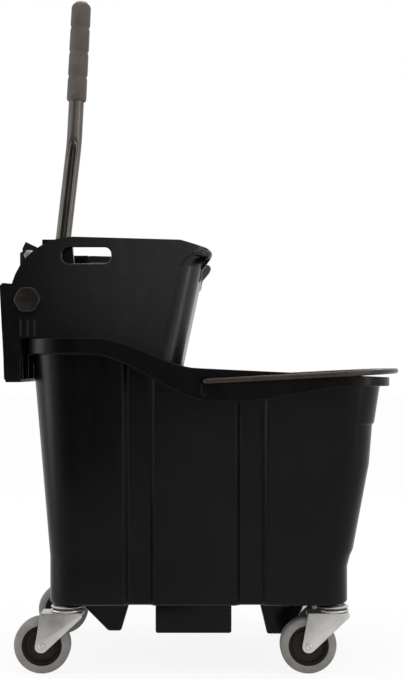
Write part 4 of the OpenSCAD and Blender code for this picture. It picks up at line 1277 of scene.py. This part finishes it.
# Name, place, width and height in metres and power in watts of each lamp
LAMPS = (
    ("softbox_left", (-1.7, -0.25, 0.5), (0.6, 1.0), 6),
    ("softbox_right", (1.9, -1.0, 0.8), (0.5, 1.5), 8),
    ("softbox_top", (0, -0.3, 2.4), (1.4, 1.0), 7),
    ("softbox_behind", (0.3, 2.0, 1.6), (1.6, 0.8), 6),
)
# Left, right, lower and upper edge of each dark card, in metres
DARK_CARDS = ((-1.3, -0.24, 0.02, 1.3), (-0.24, -0.12, 0.02, 0.29), (-0.24, 0.6, 0.29, 0.47))
CARD_Y = -1.05
CARD_TONE = 0.003


def white_to_the_eye(tree, output, lit, lit_share):
    """White for the camera and in reflections, with a share of the lit surface so that shadows stay."""
    add = tree.nodes.new
    link = tree.links.new
    ways = add("ShaderNodeLightPath")
    either = ways.outputs["Is Camera Ray"]
    for name in ("Is Glossy Ray", "Is Transmission Ray"):
        most = add("ShaderNodeMath")
        most.operation = "MAXIMUM"
        link(either, most.inputs[0])
        link(ways.outputs[name], most.inputs[1])
        either = most.outputs[0]
    white = add("ShaderNodeEmission")
    white.inputs["Strength"].default_value = 1.0
    seen = add("ShaderNodeMixShader")
    seen.inputs["Fac"].default_value = 1 - lit_share
    link(lit, seen.inputs[1])
    link(white.outputs[0], seen.inputs[2])
    choice = add("ShaderNodeMixShader")
    link(either, choice.inputs["Fac"])
    link(lit, choice.inputs[1])
    link(seen.outputs[0], choice.inputs[2])
    link(choice.outputs[0], output)


def lay_floor():
    bpy.ops.mesh.primitive_plane_add(size=FLOOR_SIZE)
    floor = bpy.context.object
    floor.name = "studio_floor"
    material = bpy.data.materials.new("studio_floor")
    material.use_nodes = True
    tree = material.node_tree
    shader = tree.nodes["Principled BSDF"]
    shader.inputs["Base Color"].default_value = (FLOOR_TONE, FLOOR_TONE, FLOOR_TONE, 1)
    shader.inputs["Roughness"].default_value = 0.9
    shader.inputs["Specular IOR Level"].default_value = 0.0
    white_to_the_eye(tree, tree.nodes["Material Output"].inputs["Surface"], shader.outputs[0], FLOOR_LIT)
    floor.data.materials.append(material)


def light_world():
    world = bpy.data.worlds.new("studio_air")
    bpy.context.scene.world = world
    world.use_nodes = True
    tree = world.node_tree
    air = tree.nodes["Background"]
    air.inputs["Color"].default_value = (1, 1, 1, 1)
    air.inputs["Strength"].default_value = AIR_LIGHT
    white_to_the_eye(tree, tree.nodes["World Output"].inputs["Surface"], air.outputs[0], 0.0)


def light_studio():
    for name, place, size, power in LAMPS:
        bpy.ops.object.light_add(type="AREA", location=place)
        lamp = bpy.context.object
        lamp.name = name
        lamp.data.shape = "RECTANGLE"
        lamp.data.size, lamp.data.size_y = size
        lamp.data.energy = power
        lamp.rotation_euler = (Vector(LOOK_AT) - Vector(place)).to_track_quat("-Z", "Y").to_euler()


def set_dark_cards():
    """Dark cards between camera and object, which only show as the darker shine of the upright walls."""
    material = bpy.data.materials.new("dark_card")
    material.use_nodes = True
    shader = material.node_tree.nodes["Principled BSDF"]
    shader.inputs["Base Color"].default_value = (CARD_TONE, CARD_TONE, CARD_TONE, 1)
    for number, (left, right, low, high) in enumerate(DARK_CARDS):
        clear()
        bpy.ops.mesh.primitive_plane_add(size=1)
        card = opened()
        card.name = "dark_card_" + str(number)
        bpy.ops.transform.resize(value=(right - left, high - low, 1))
        bpy.ops.transform.rotate(value=math.radians(90), orient_axis="X", center_override=(0, 0, 0))
        bpy.ops.transform.translate(value=((left + right) / 2, CARD_Y, (low + high) / 2))
        close()
        card.data.materials.append(material)
        card.visible_camera = False
        card.visible_diffuse = False
        card.visible_shadow = False


def place_camera():
    bpy.ops.object.camera_add(location=CAMERA_PLACE, rotation=(math.radians(90), 0, 0))
    camera = bpy.context.object
    camera.data.lens = SENSOR_MM * FOCAL_PX / PHOTO_H
    camera.data.sensor_width = SENSOR_MM
    camera.data.shift_y = (HORIZON_PX - PHOTO_H / 2) / PHOTO_H
    bpy.context.scene.camera = camera


clear()
dress_frame()
make_bucket()
mould_wringer()
mould_press()
mould_ears()
soft_copies()
bend_tube()
turn_grip()
fit_nuts()
wind_spring()
fit_casters()
lay_floor()
light_world()
light_studio()
set_dark_cards()
place_camera()
bpy.context.scene.view_settings.view_transform = "Standard"
